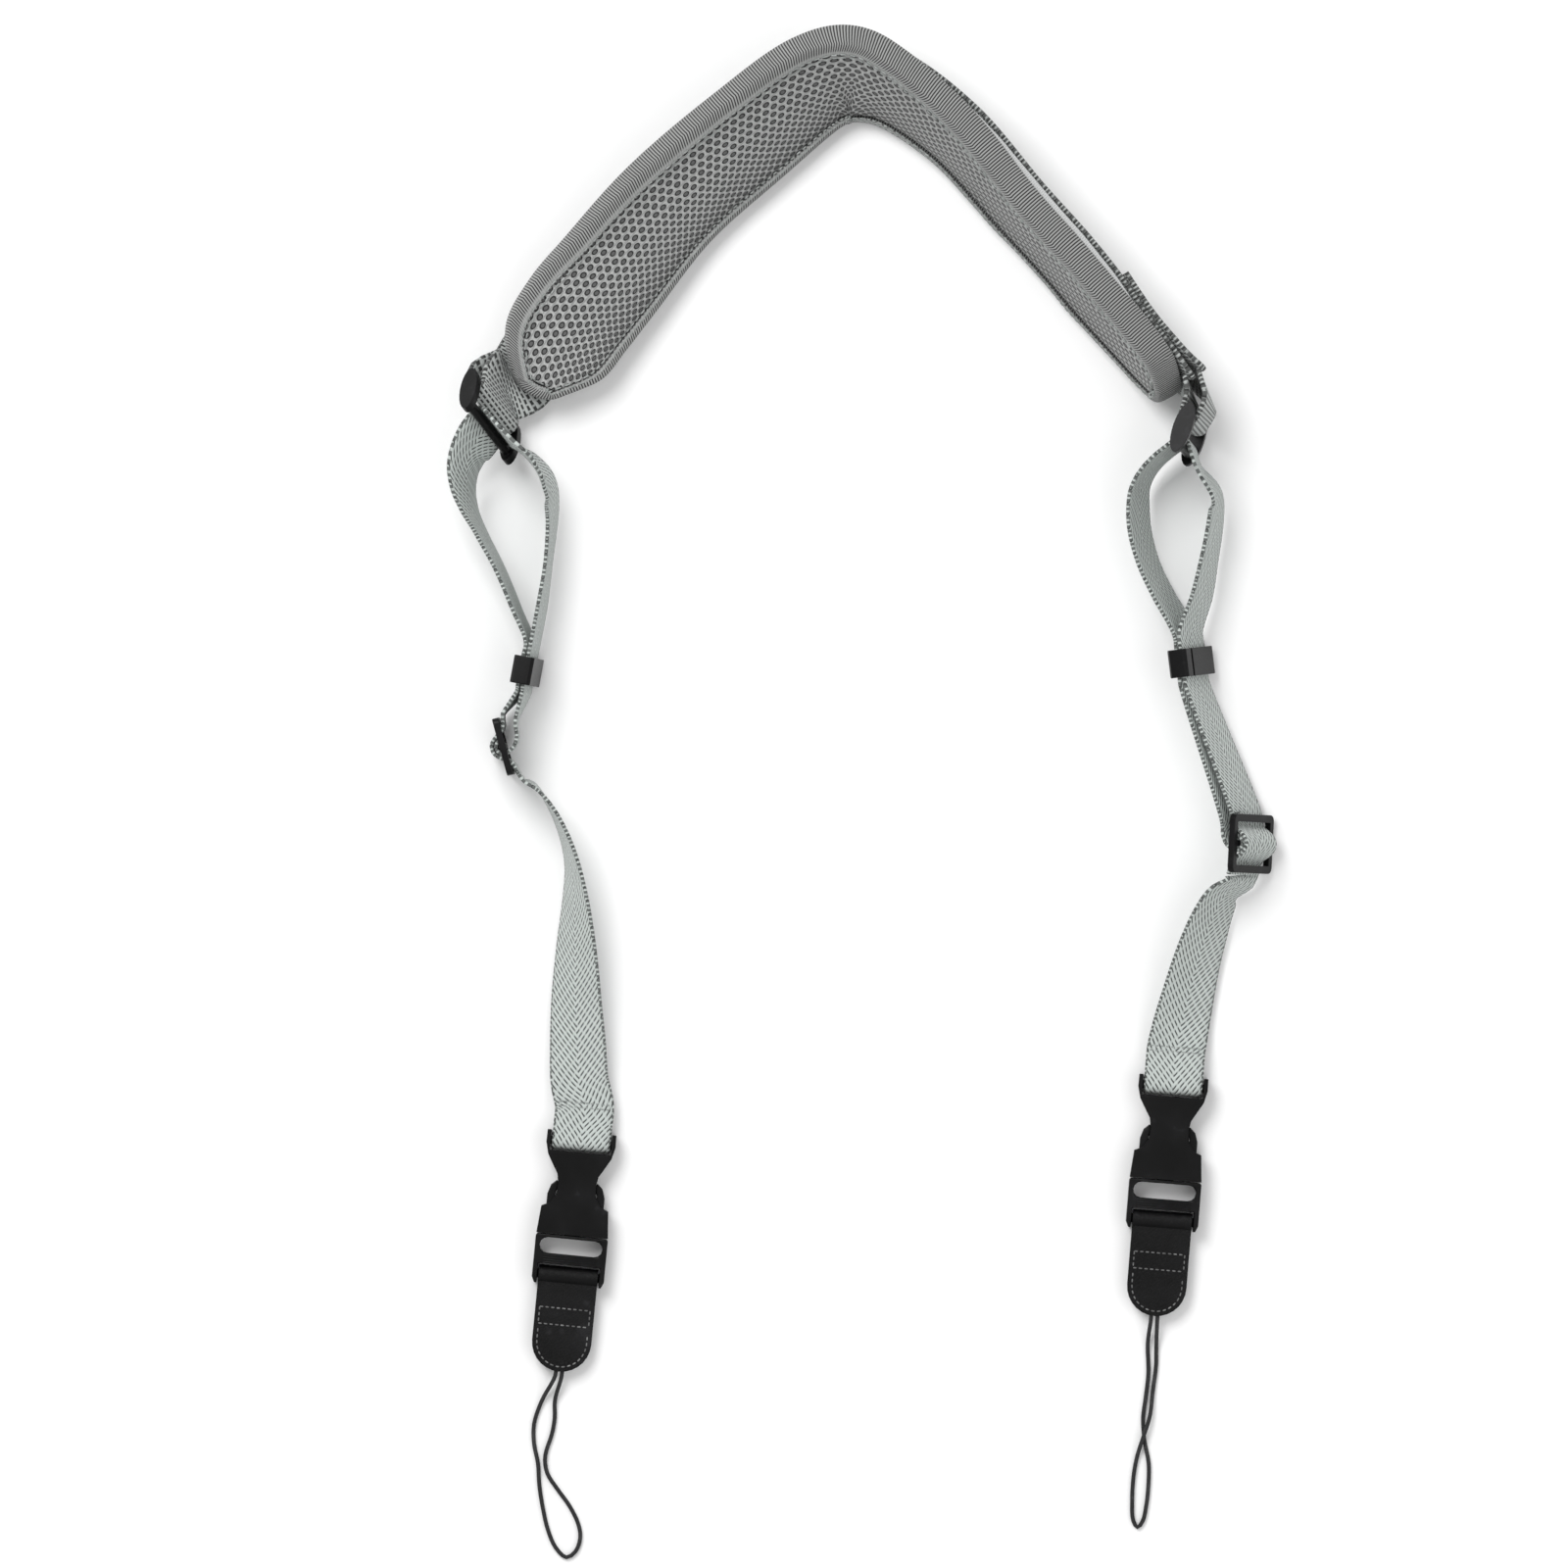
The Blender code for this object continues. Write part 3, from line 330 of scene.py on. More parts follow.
class Graph:
    """Short names for building one node tree."""

    def __init__(self, tree: bpy.types.NodeTree) -> None:
        """Keep the tree that the nodes go into."""
        self.tree = tree

    def node(self, kind: str, **settings: object) -> bpy.types.Node:
        """A new node with its settings.

        Args:
            kind: The node's type name.
            **settings: Attributes to set on it.

        Returns:
            The node.
        """
        made = self.tree.nodes.new(kind)
        for key, value in settings.items():
            setattr(made, key, value)
        return made

    def put(self, target: bpy.types.NodeSocket, value: object) -> None:
        """Link a socket to the target, or set the target to a plain value."""
        if isinstance(value, bpy.types.NodeSocket):
            self.tree.links.new(value, target)
        else:
            target.default_value = value

    def split(self, vector: object) -> tuple[bpy.types.NodeSocket, bpy.types.NodeSocket]:
        """The first two numbers of a vector."""
        made = self.node("ShaderNodeSeparateXYZ")
        self.put(made.inputs[0], vector)
        return made.outputs[0], made.outputs[1]

    def math(self, operation: str, *values: object) -> bpy.types.NodeSocket:
        """A math node's result for the given sockets or numbers.

        Args:
            operation: The node's operation.
            *values: Sockets or numbers, up to three.

        Returns:
            The result's socket.
        """
        made = self.node("ShaderNodeMath", operation=operation)
        for socket, value in zip(made.inputs, values):
            self.put(socket, value)
        return made.outputs[0]

    def times(self, first: object, second: object) -> bpy.types.NodeSocket:
        """The product of two values."""
        return self.math("MULTIPLY", first, second)

    def over(self, first: object, second: object) -> bpy.types.NodeSocket:
        """The first value divided by the second."""
        return self.math("DIVIDE", first, second)

    def plus(self, first: object, second: object) -> bpy.types.NodeSocket:
        """The sum of two values."""
        return self.math("ADD", first, second)

    def minus(self, first: object, second: object) -> bpy.types.NodeSocket:
        """The first value less the second."""
        return self.math("SUBTRACT", first, second)

    def most(self, first: object, second: object) -> bpy.types.NodeSocket:
        """The larger of two values."""
        return self.math("MAXIMUM", first, second)

    def scaled(self, value: object, factor: object, extra: object) -> bpy.types.NodeSocket:
        """A value times a factor plus an extra."""
        return self.math("MULTIPLY_ADD", value, factor, extra)

    def ramp(self, value: object, low: object, high: object) -> bpy.types.NodeSocket:
        """A smooth rise from 0 at low to 1 at high."""
        made = self.node("ShaderNodeMapRange", interpolation_type="SMOOTHSTEP")
        self.put(made.inputs["Value"], value)
        self.put(made.inputs["From Min"], low)
        self.put(made.inputs["From Max"], high)
        return made.outputs["Result"]

    def wave(self, value: object) -> bpy.types.NodeSocket:
        """A sine between 0 and 1 with a period of 1."""
        angle = self.times(value, math.tau)
        return self.scaled(self.math("SINE", angle), 0.5, 0.5)

    def mix(self, share: object, first: object, second: object) -> bpy.types.NodeSocket:
        """A blend of two colours."""
        made = self.node("ShaderNodeMix", data_type="RGBA")
        self.put(made.inputs["Factor"], share)
        self.put(made.inputs["A"], first)
        self.put(made.inputs["B"], second)
        return made.outputs["Result"]

    def group(self, tree: bpy.types.NodeTree, numbers: dict[str, float]) -> bpy.types.Node:
        """A group node with its number inputs set.

        Args:
            tree: The group's tree.
            numbers: Values of its inputs by name.

        Returns:
            The group node.
        """
        made = self.node("ShaderNodeGroup", node_tree=tree)
        for name, value in numbers.items():
            made.inputs[name].default_value = value
        return made

    def noise(self, where: object, scale: object, detail: float = 3.0) -> bpy.types.NodeSocket:
        """A noise value at a place."""
        made = self.node("ShaderNodeTexNoise")
        self.put(made.inputs["Vector"], where)
        self.put(made.inputs["Scale"], scale)
        made.inputs["Detail"].default_value = detail
        return made.outputs["Fac"]


@dataclass(frozen=True)
class GroupSpec:
    """A shader group's name, its vector input, number inputs and number outputs."""

    name: str
    place: str
    numbers: dict[str, float]
    outputs: tuple[str, ...]


class ShaderGroups:
    """The shared surface effects, each built once."""

    def start(self, spec: GroupSpec) -> tuple[Graph, dict[str, object], bpy.types.Node]:
        """An empty group with its sockets.

        Args:
            spec: The group's name and sockets.

        Returns:
            Its graph, its input sockets by name, and its output node.
        """
        tree = bpy.data.node_groups.new(spec.name, "ShaderNodeTree")
        tree.interface.new_socket(spec.place, in_out="INPUT", socket_type="NodeSocketVector")
        for name, value in spec.numbers.items():
            made = tree.interface.new_socket(name, in_out="INPUT", socket_type="NodeSocketFloat")
            made.default_value = value
        for name in spec.outputs:
            tree.interface.new_socket(name, in_out="OUTPUT", socket_type="NodeSocketFloat")
        graph = Graph(tree)
        source = graph.node("NodeGroupInput")
        ways_in = {name: source.outputs[name] for name in (spec.place, *spec.numbers)}
        return graph, ways_in, graph.node("NodeGroupOutput")

    def weave(self) -> bpy.types.NodeTree:
        """Ribs and yarns of a woven band, straight or in a chevron."""
        found = bpy.data.node_groups.get("band_weave")
        if found:
            return found
        numbers = {
            "Rib Pitch": 1.2,
            "Yarn Pitch": 0.9,
            "Slant": 0.0,
            "Grain": 0.2,
            "Line": 0.35,
            "Half Width": 10.0,
            "Plain Until": -100.0,
            "Ribbed From": -99.0,
        }
        graph, ways, last = self.start(GroupSpec("band_weave", "Band", numbers, ("Height", "Shade")))
        plain_rise, ribbed_rise, yarn_rise = 0.15, 0.5, 0.3
        plain_dark, ribbed_dark = 0.25, 0.75
        crossing_light, rim_dark, dash_pitch = 0.75, 0.75, 1.5
        along, across = graph.split(ways["Band"])
        side = graph.math("ABSOLUTE", across)
        lean = graph.scaled(side, ways["Slant"], along)
        rib = graph.over(lean, ways["Rib Pitch"])
        rib_height = graph.wave(rib)
        half_step = graph.times(graph.math("FLOOR", rib), 0.5)
        yarn = graph.plus(graph.over(across, ways["Yarn Pitch"]), half_step)
        yarn_height = graph.wave(yarn)
        ribbed = graph.ramp(across, ways["Plain Until"], ways["Ribbed From"])
        ribs = graph.times(rib_height, graph.scaled(ribbed, ribbed_rise, plain_rise))
        both = graph.scaled(yarn_height, yarn_rise, ribs)
        fuzz = graph.noise(ways["Band"], 2.2, 4.0)
        height = graph.scaled(fuzz, ways["Grain"], both)
        open_rib = graph.ramp(graph.minus(rib_height, ways["Line"]), -0.2, 0.25)
        crossing = graph.times(graph.ramp(yarn_height, 0.6, 0.95), crossing_light)
        lit = graph.most(open_rib, crossing)
        depth = graph.scaled(ribbed, ribbed_dark, plain_dark)
        dark_line = graph.times(graph.minus(1.0, lit), depth)
        rim = graph.ramp(graph.minus(side, ways["Half Width"]), -0.85, -0.55)
        dash = graph.ramp(graph.wave(graph.over(along, dash_pitch)), 0.2, 0.5)
        dark_rim = graph.times(graph.times(rim, dash), rim_dark)
        cloud = graph.noise(ways["Band"], 0.12, 2.0)
        base = graph.scaled(cloud, 0.3, graph.scaled(fuzz, 0.3, 0.6))
        dark = graph.most(dark_line, dark_rim)
        shade = graph.times(base, graph.minus(1.0, dark))
        graph.put(last.inputs["Height"], height)
        graph.put(last.inputs["Shade"], shade)
        return graph.tree

    def holes(self) -> bpy.types.NodeTree:
        """Staggered rows of ringed holes in a knitted mesh."""
        found = bpy.data.node_groups.get("mesh_holes")
        if found:
            return found
        numbers = {"Row Pitch": 2.6, "Hole Pitch": 3.5, "Size": 0.38, "Crowding": 0.0095, "Bend": 2.0}
        graph, ways, last = self.start(GroupSpec("mesh_holes", "Cloth", numbers, ("Dark", "Height")))
        wander, speck_dark, hole_dark = 0.35, 0.35, 0.8
        strand_dark, stretched_dark = 0.35, 0.5
        run, aside = graph.split(ways["Cloth"])
        wobble = graph.noise(ways["Cloth"], 0.25, 1.0)
        inner = graph.most(graph.minus(ways["Bend"], aside), 0.0)
        crowd = graph.times(graph.times(inner, inner), ways["Crowding"])
        even = graph.minus(graph.over(aside, ways["Row Pitch"]), crowd)
        across = graph.scaled(wobble, wander, even)
        row = graph.math("FLOOR", across)
        odd = graph.times(graph.math("FLOORED_MODULO", row, 2.0), 0.5)
        along = graph.plus(graph.over(run, ways["Hole Pitch"]), odd)
        dx = graph.minus(graph.math("FRACT", along), 0.5)
        dy = graph.minus(graph.math("FRACT", across), 0.5)
        squares = graph.scaled(dy, dy, graph.times(dx, dx))
        inside = graph.minus(ways["Size"], graph.math("SQRT", squares))
        hole = graph.ramp(inside, -0.02, 0.05)
        ring = graph.times(hole, graph.ramp(inside, 0.26, 0.14))
        knit = graph.noise(ways["Cloth"], 2.4, 3.0)
        stretched = graph.ramp(inner, 7.0, 17.0)
        between = graph.ramp(graph.math("ABSOLUTE", dy), 0.36, 0.48)
        strand = graph.times(between, graph.scaled(stretched, stretched_dark, strand_dark))
        specks = graph.times(graph.ramp(knit, 0.5, 0.62), speck_dark)
        ringed = graph.most(ring, graph.times(hole, hole_dark))
        dark = graph.most(ringed, graph.most(strand, specks))
        cloth = graph.scaled(knit, 0.25, graph.scaled(between, -0.2, 0.7))
        height = graph.times(cloth, graph.minus(1.0, hole))
        graph.put(last.inputs["Dark"], dark)
        graph.put(last.inputs["Height"], height)
        return graph.tree

    def grain(self) -> bpy.types.NodeTree:
        """Fine grain with slow clouds, for leather, moulded plastic and cord."""
        found = bpy.data.node_groups.get("fine_grain")
        if found:
            return found
        numbers = {"Grain Scale": 900.0, "Cloud Scale": 40.0}
        spec = GroupSpec("fine_grain", "Place", numbers, ("Height", "Cloud", "Worn"))
        graph, ways, last = self.start(spec)
        cells = graph.node("ShaderNodeTexVoronoi", feature="DISTANCE_TO_EDGE")
        graph.put(cells.inputs["Vector"], ways["Place"])
        graph.put(cells.inputs["Scale"], ways["Grain Scale"])
        pebble = graph.ramp(cells.outputs["Distance"], 0.0, 0.25)
        fine = graph.noise(ways["Place"], graph.times(ways["Grain Scale"], 2.0), 4.0)
        cloud = graph.noise(ways["Place"], ways["Cloud Scale"], 3.0)
        graph.put(last.inputs["Height"], graph.scaled(fine, 0.4, pebble))
        graph.put(last.inputs["Cloud"], cloud)
        scuff = graph.noise(ways["Place"], graph.times(ways["Cloud Scale"], 6.0), 5.0)
        graph.put(last.inputs["Worn"], graph.ramp(graph.times(scuff, cloud), 0.30, 0.42))
        return graph.tree


GROUPS = ShaderGroups()


# ---------------------------------------------------------------- finishes


class Coordinate(Enum):
    """Which coordinates a finish follows."""

    BAND = "band"
    PLACE = "place"


@dataclass(frozen=True)
class Finish:
    """A material's name, colours and roughness."""

    name: str
    dark: Colour
    light: Colour
    roughness: float = 0.8
    bump: float = 0.4
    bump_distance: float = 0.0003
    rough_spread: float = field(default=0.16, kw_only=True)

    def begin(self) -> tuple[bpy.types.Material, Graph, bpy.types.Node]:
        """A new material with its graph and Principled shader."""
        made = bpy.data.materials.new(self.name)
        made.use_nodes = True
        graph = Graph(made.node_tree)
        return made, graph, made.node_tree.nodes["Principled BSDF"]

    def coordinates(self, graph: Graph, kind: Coordinate) -> bpy.types.NodeSocket:
        """Band coordinates in millimetres, or places in metres."""
        if kind is Coordinate.PLACE:
            return graph.node("ShaderNodeTexCoord").outputs["Object"]
        source = graph.node("ShaderNodeUVMap", uv_map="band")
        scaled = graph.node("ShaderNodeVectorMath", operation="SCALE")
        graph.put(scaled.inputs[0], source.outputs[0])
        scaled.inputs["Scale"].default_value = 1.0 / MM
        return scaled.outputs[0]

    def raise_surface(self, graph: Graph, shader: bpy.types.Node, height: object) -> None:
        """Drive the shader's normal from a height."""
        bump = graph.node("ShaderNodeBump")
        bump.inputs["Strength"].default_value = self.bump
        bump.inputs["Distance"].default_value = self.bump_distance
        graph.put(bump.inputs["Height"], height)
        graph.put(shader.inputs["Normal"], bump.outputs[0])

    def vary_roughness(self, graph: Graph, shader: bpy.types.Node, value: object) -> None:
        """Let the roughness follow a value a little."""
        rough = graph.scaled(value, self.rough_spread, self.roughness - self.rough_spread / 2)
        graph.put(shader.inputs["Roughness"], rough)

    def colour(self, graph: Graph, shader: bpy.types.Node, share: object) -> None:
        """Blend the finish's two colours into the shader."""
        blend = graph.mix(share, (*self.dark, 1.0), (*self.light, 1.0))
        graph.put(shader.inputs["Base Color"], blend)


@dataclass(frozen=True)
class BandFinish(Finish):
    """Woven webbing or edge band."""

    rib_pitch: float = 1.2
    yarn_pitch: float = 0.9
    slant: float = 0.0
    grain: float = 0.2
    line: float = 0.35
    half_width: float = 10.0
    plain_until: float = -100.0
    ribbed_from: float = -99.0
    sheen: float = 0.15

    def build(self) -> bpy.types.Material:
        """The finished material."""
        made, graph, shader = self.begin()
        numbers = {
            "Rib Pitch": self.rib_pitch,
            "Yarn Pitch": self.yarn_pitch,
            "Slant": self.slant,
            "Grain": self.grain,
            "Line": self.line,
            "Half Width": self.half_width,
            "Plain Until": self.plain_until,
            "Ribbed From": self.ribbed_from,
        }
        group = graph.group(GROUPS.weave(), numbers)
        graph.put(group.inputs["Band"], self.coordinates(graph, Coordinate.BAND))
        self.colour(graph, shader, graph.ramp(group.outputs["Shade"], 0.0, 0.95))
        self.vary_roughness(graph, shader, group.outputs["Height"])
        self.raise_surface(graph, shader, group.outputs["Height"])
        shader.inputs["Sheen Weight"].default_value = self.sheen
        shader.inputs["Sheen Roughness"].default_value = 0.5
        return made


@dataclass(frozen=True)
class MeshFinish(Finish):
    """Knitted spacer mesh with dark-ringed holes, crowded towards the inner edge."""

    row_pitch: float = 2.6
    hole_pitch: float = 3.5
    size: float = 0.38

    def build(self) -> bpy.types.Material:
        """The finished material."""
        made, graph, shader = self.begin()
        numbers = {"Row Pitch": self.row_pitch, "Hole Pitch": self.hole_pitch, "Size": self.size}
        group = graph.group(GROUPS.holes(), numbers)
        graph.put(group.inputs["Cloth"], self.coordinates(graph, Coordinate.BAND))
        self.colour(graph, shader, graph.minus(1.0, group.outputs["Dark"]))
        self.vary_roughness(graph, shader, group.outputs["Height"])
        self.raise_surface(graph, shader, group.outputs["Height"])
        shader.inputs["Sheen Weight"].default_value = 0.1
        return made


@dataclass(frozen=True)
class GrainFinish(Finish):
    """Leather, moulded plastic, thread or cord."""

    grain_scale: float = 900.0
    cloud_scale: float = 40.0
    specular: float = 0.5

    def build(self) -> bpy.types.Material:
        """The finished material."""
        made, graph, shader = self.begin()
        numbers = {"Grain Scale": self.grain_scale, "Cloud Scale": self.cloud_scale}
        group = graph.group(GROUPS.grain(), numbers)
        graph.put(group.inputs["Place"], self.coordinates(graph, Coordinate.PLACE))
        share = graph.scaled(group.outputs["Worn"], 0.5, group.outputs["Cloud"])
        self.colour(graph, shader, graph.ramp(share, 0.3, 1.0))
        self.vary_roughness(graph, shader, group.outputs["Cloud"])
        self.raise_surface(graph, shader, group.outputs["Height"])
        shader.inputs["Specular IOR Level"].default_value = self.specular
        return made


@dataclass(frozen=True)
class Finishes:
    """Every material of the strap."""

    slim_webbing: bpy.types.Material
    wide_webbing: bpy.types.Material
    edge_band: bpy.types.Material
    mesh: bpy.types.Material
    cover: bpy.types.Material
    foam: bpy.types.Material
    plastic: bpy.types.Material
    leather: bpy.types.Material
    leather_thread: bpy.types.Material
    web_thread: bpy.types.Material
    cord: bpy.types.Material
    floor: bpy.types.Material


def make_finishes() -> Finishes:
    """Build every material once."""
    return Finishes(
        slim_webbing=BandFinish(
            "slim_webbing_chevron", (0.04, 0.044, 0.042), (0.50, 0.54, 0.52), 0.82, 0.5, 0.0004,
            rib_pitch=2.2, yarn_pitch=1.7, slant=1.3, grain=0.25, line=0.22,
        ).build(),
        wide_webbing=BandFinish(
            "wide_webbing_ribs", (0.02, 0.021, 0.02), (0.42, 0.44, 0.43), 0.84, 0.7, 0.0005,
            rib_pitch=1.25, yarn_pitch=2.4, slant=0.0, grain=0.2, line=0.42, half_width=12.5,
        ).build(),
        edge_band=BandFinish(
            "edge_band_ribs", (0.02, 0.02, 0.02), (0.33, 0.335, 0.33), 0.86, 0.7, 0.0004,
            rib_pitch=1.0, yarn_pitch=60.0, slant=0.35, grain=0.2, line=0.45, half_width=6.0,
            plain_until=-4.2, ribbed_from=-2.8,
        ).build(),
        mesh=MeshFinish(
            "spacer_mesh", (0.008, 0.008, 0.008), (0.42, 0.425, 0.42), 0.85, 0.9, 0.0008,
        ).build(),
        cover=BandFinish(
            "outer_cover_cloth", (0.36, 0.37, 0.37), (0.60, 0.61, 0.61), 0.88, 0.5, 0.0003,
            rib_pitch=0.8, yarn_pitch=0.8, slant=0.0, grain=0.3, line=0.1, half_width=100.0,
        ).build(),
        foam=GrainFinish(
            "foam", (0.2, 0.2, 0.2), (0.32, 0.32, 0.32), 0.95, 0.5, 0.0004,
            grain_scale=1200.0, cloud_scale=60.0,
        ).build(),
        plastic=GrainFinish(
            "moulded_plastic", (0.002, 0.002, 0.002), (0.010, 0.010, 0.011), 0.34, 0.12, 0.00008,
            grain_scale=2600.0, cloud_scale=60.0, specular=0.16,
        ).build(),
        leather=GrainFinish(
            "black_leather", (0.002, 0.002, 0.002), (0.012, 0.012, 0.013), 0.45, 0.35, 0.0002,
            grain_scale=1300.0, cloud_scale=50.0, specular=0.14,
        ).build(),
        leather_thread=GrainFinish(
            "leather_thread", (0.10, 0.10, 0.10), (0.30, 0.30, 0.30), 0.7, 0.4, 0.0001,
            grain_scale=3000.0, cloud_scale=300.0,
        ).build(),
        web_thread=GrainFinish(
            "webbing_thread", (0.26, 0.28, 0.27), (0.46, 0.48, 0.47), 0.75, 0.4, 0.0001,
            grain_scale=3000.0, cloud_scale=300.0,
        ).build(),
        cord=GrainFinish(
            "braided_cord", (0.006, 0.006, 0.007), (0.03, 0.03, 0.032), 0.66, 0.7, 0.0002,
            grain_scale=1500.0, cloud_scale=120.0,
        ).build(),
        floor=GrainFinish(
            "studio_floor", (0.93, 0.93, 0.93), (0.95, 0.95, 0.95), 0.9, 0.02, 0.0001,
            grain_scale=60.0, cloud_scale=2.0,
        ).build(),
    )


# ---------------------------------------------------------------- mesh building


def new_piece(
    name: str,
    verts: Sequence[Sequence[float]],
    faces: Sequence[Sequence[int]],
    bands: Sequence[tuple[float, float]] | None,
    finish: bpy.types.Material,
) -> bpy.types.Object:
    """A smooth mesh piece in the frame from drawing places.

    Args:
        name: The piece's name.
        verts: Places in the drawing.
        faces: Vertex indices of each face.
        bands: Along and across distances per vertex, for woven finishes.
        finish: The material.

    Returns:
        The piece.
    """
    mesh = bpy.data.meshes.new(name)
    mesh.from_pydata([tuple(to_frame(v)) for v in verts], [], [tuple(f) for f in faces])
    if bands is not None:
        layer = mesh.uv_layers.new(name="band")
        for loop in mesh.loops:
            along, across = bands[loop.vertex_index]
            layer.data[loop.index].uv = (along * MM, across * MM)
    mesh.shade_smooth()
    mesh.materials.append(finish)
    piece = bpy.data.objects.new(name, mesh)
    bpy.context.scene.collection.objects.link(piece)
    return piece


def grid_faces(rows: int, columns: int, closed_rows: bool, closed_columns: bool) -> list[Face]:
    """Quads of a grid of vertices stored row by row.

    Args:
        rows: Number of rows.
        columns: Number of vertices in a row.
        closed_rows: Whether the last row joins the first.
        closed_columns: Whether each row closes on itself.

    Returns:
        The quads.
    """
    faces = []
    for row in range(rows if closed_rows else rows - 1):
        below = (row + 1) % rows
        for column in range(columns if closed_columns else columns - 1):
            after = (column + 1) % columns
            first, second = row * columns, below * columns
            faces.append((first + column, first + after, second + after, second + column))
    return faces


def tube_faces(rows: int, ring: int, first: int = 0) -> list[Face]:
    """Faces of a closed tube whose rings follow one another.

    Args:
        rows: Number of rings.
        ring: Number of vertices in a ring.
        first: Index of the first vertex.

    Returns:
        The quads of the wall and the two end faces.
    """
    faces = grid_faces(rows, ring, False, True)
    last = (rows - 1) * ring
    faces += [tuple(range(ring))[::-1], tuple(range(last, last + ring))]
    return [tuple(first + index for index in face) for face in faces]


def round_off(piece: bpy.types.Object) -> None:
    """One level of subdivision, the same in the view and in the render."""
    finer = piece.modifiers.new("rounding", "SUBSURF")
    finer.levels = 1
    finer.render_levels = 1


def soften(node: bpy.types.Object, width: float, corner: float) -> None:
    """Round the edges of one of the frame's objects with modifiers.

    Args:
        node: The frame's object.
        width: Width of the rounding in millimetres.
        corner: Edges that turn by more degrees than this are rounded.
    """
    weld = node.modifiers.new("weld", "WELD")
    weld.merge_threshold = 0.00001
    bevel = node.modifiers.new("rounding", "BEVEL")
    bevel.width = width * MM
    bevel.segments = 3
    bevel.limit_method = "ANGLE"
    bevel.angle_limit = math.radians(corner)
    normals = node.modifiers.new("normals", "WEIGHTED_NORMAL")
    normals.keep_sharp = False


def dress(name: str, finish: bpy.types.Material) -> bpy.types.Object:
    """Give one of the frame's objects its finish.

    Args:
        name: The frame's node.
        finish: Its material.

    Returns:
        The frame's object.
    """
    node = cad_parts[name]
    node.data.materials.clear()
    node.data.materials.append(finish)
    return node


@dataclass
class Strip:
    """A woven strip along stations of place and width direction."""

    stations: list[Point]
    width: float
    thick: float
    lanes: Point = (-1.0, -0.97, -0.7, -0.35, 0.0, 0.35, 0.7, 0.97, 1.0)
    selvedge: float = 0.25

    def frames(self) -> list[Station]:
        """Place, width direction, face direction and distance of each station."""
        result = []
        run = 0.0
        for index, station in enumerate(self.stations):
            before = Vector(self.stations[max(index - 1, 0)][:3])
            after = Vector(self.stations[min(index + 1, len(self.stations) - 1)][:3])
            along = (after - before).normalized()
            width = Vector(station[3:6])
            width = (width - width.dot(along) * along).normalized()
            if index:
                run += (Vector(station[:3]) - before).length
            result.append((Vector(station[:3]), width, width.cross(along), run))
        return result

    def build(self, name: str, finish: bpy.types.Material) -> bpy.types.Object:
        """The strip as a piece with soft selvedges.

        Args:
            name: The piece's name.
            finish: Its material.

        Returns:
            The piece.
        """
        half, skin = self.width / 2, self.thick / 2
        upper = [(lane, 1.0 if abs(lane) < 0.99 else self.selvedge) for lane in self.lanes]
        ring = [*upper, *[(lane, -side) for lane, side in reversed(upper)]]
        verts, bands = [], []
        rows = self.frames()
        for place, width, face, run in rows:
            for lane, side in ring:
                verts.append(place + width * (lane * half) + face * (side * skin))
                bands.append((run, lane * half))
        return new_piece(name, verts, tube_faces(len(rows), len(ring)), bands, finish)

    def surface_point(self, run: float, lane: float, side: float) -> tuple[Vector, Vector]:
        """A place on the strip's surface and the direction away from it.

        Args:
            run: Distance along the strip.
            lane: Position across, from -1 to 1.
            side: 1 for the strip's face, -1 for its back.

        Returns:
            The place and its direction away from the strip.
        """
        rows = self.frames()
        runs = [row[3] for row in rows]
        row = min(max(int(np.searchsorted(runs, run)), 1), len(rows) - 1)
        share = (run - runs[row - 1]) / max(runs[row] - runs[row - 1], 1e-6)
        place = rows[row - 1][0].lerp(rows[row][0], share)
        _, width, face, _ = rows[row]
        aside = width * (lane * self.width / 2)
        return place + aside + face * (side * self.thick / 2), face * side


@dataclass
class Stitches:
    """Rows of short threads lying on a surface."""

    radius: float
    share: float
    sides: int = 6
    verts: list[Vector] = field(default_factory=list)
    faces: list[Face] = field(default_factory=list)

    def thread(self, start: Vector, end: Vector, away: Vector) -> None:
        """Add one thread whose ends dip into the cloth."""
        along = (end - start).normalized()
        side = along.cross(away).normalized()
        first = len(self.verts)
        profile = ((0.0, 0.35, -0.5), (0.18, 1.0, 0.3), (0.82, 1.0, 0.3), (1.0, 0.35, -0.5))
        for share, size, lift in profile:
            centre = start.lerp(end, share) + away * (lift * self.radius)
            for corner in range(self.sides):
                angle = math.tau * corner / self.sides
                offset = math.cos(angle) * side + math.sin(angle) * away
                self.verts.append(centre + offset * self.radius * size)
        self.faces += tube_faces(len(profile), self.sides, first)

    def row(self, points: Sequence[tuple[Vector, Vector]]) -> None:
        """Add a thread between each point and most of the way to the next."""
        for (start, away), (end, _) in zip(points, points[1:]):
            self.thread(start, start.lerp(end, self.share), away)

    def build(self, name: str, finish: bpy.types.Material) -> bpy.types.Object:
        """The stitches as one piece."""
        return new_piece(name, self.verts, self.faces, None, finish)


# ---------------------------------------------------------------- pad


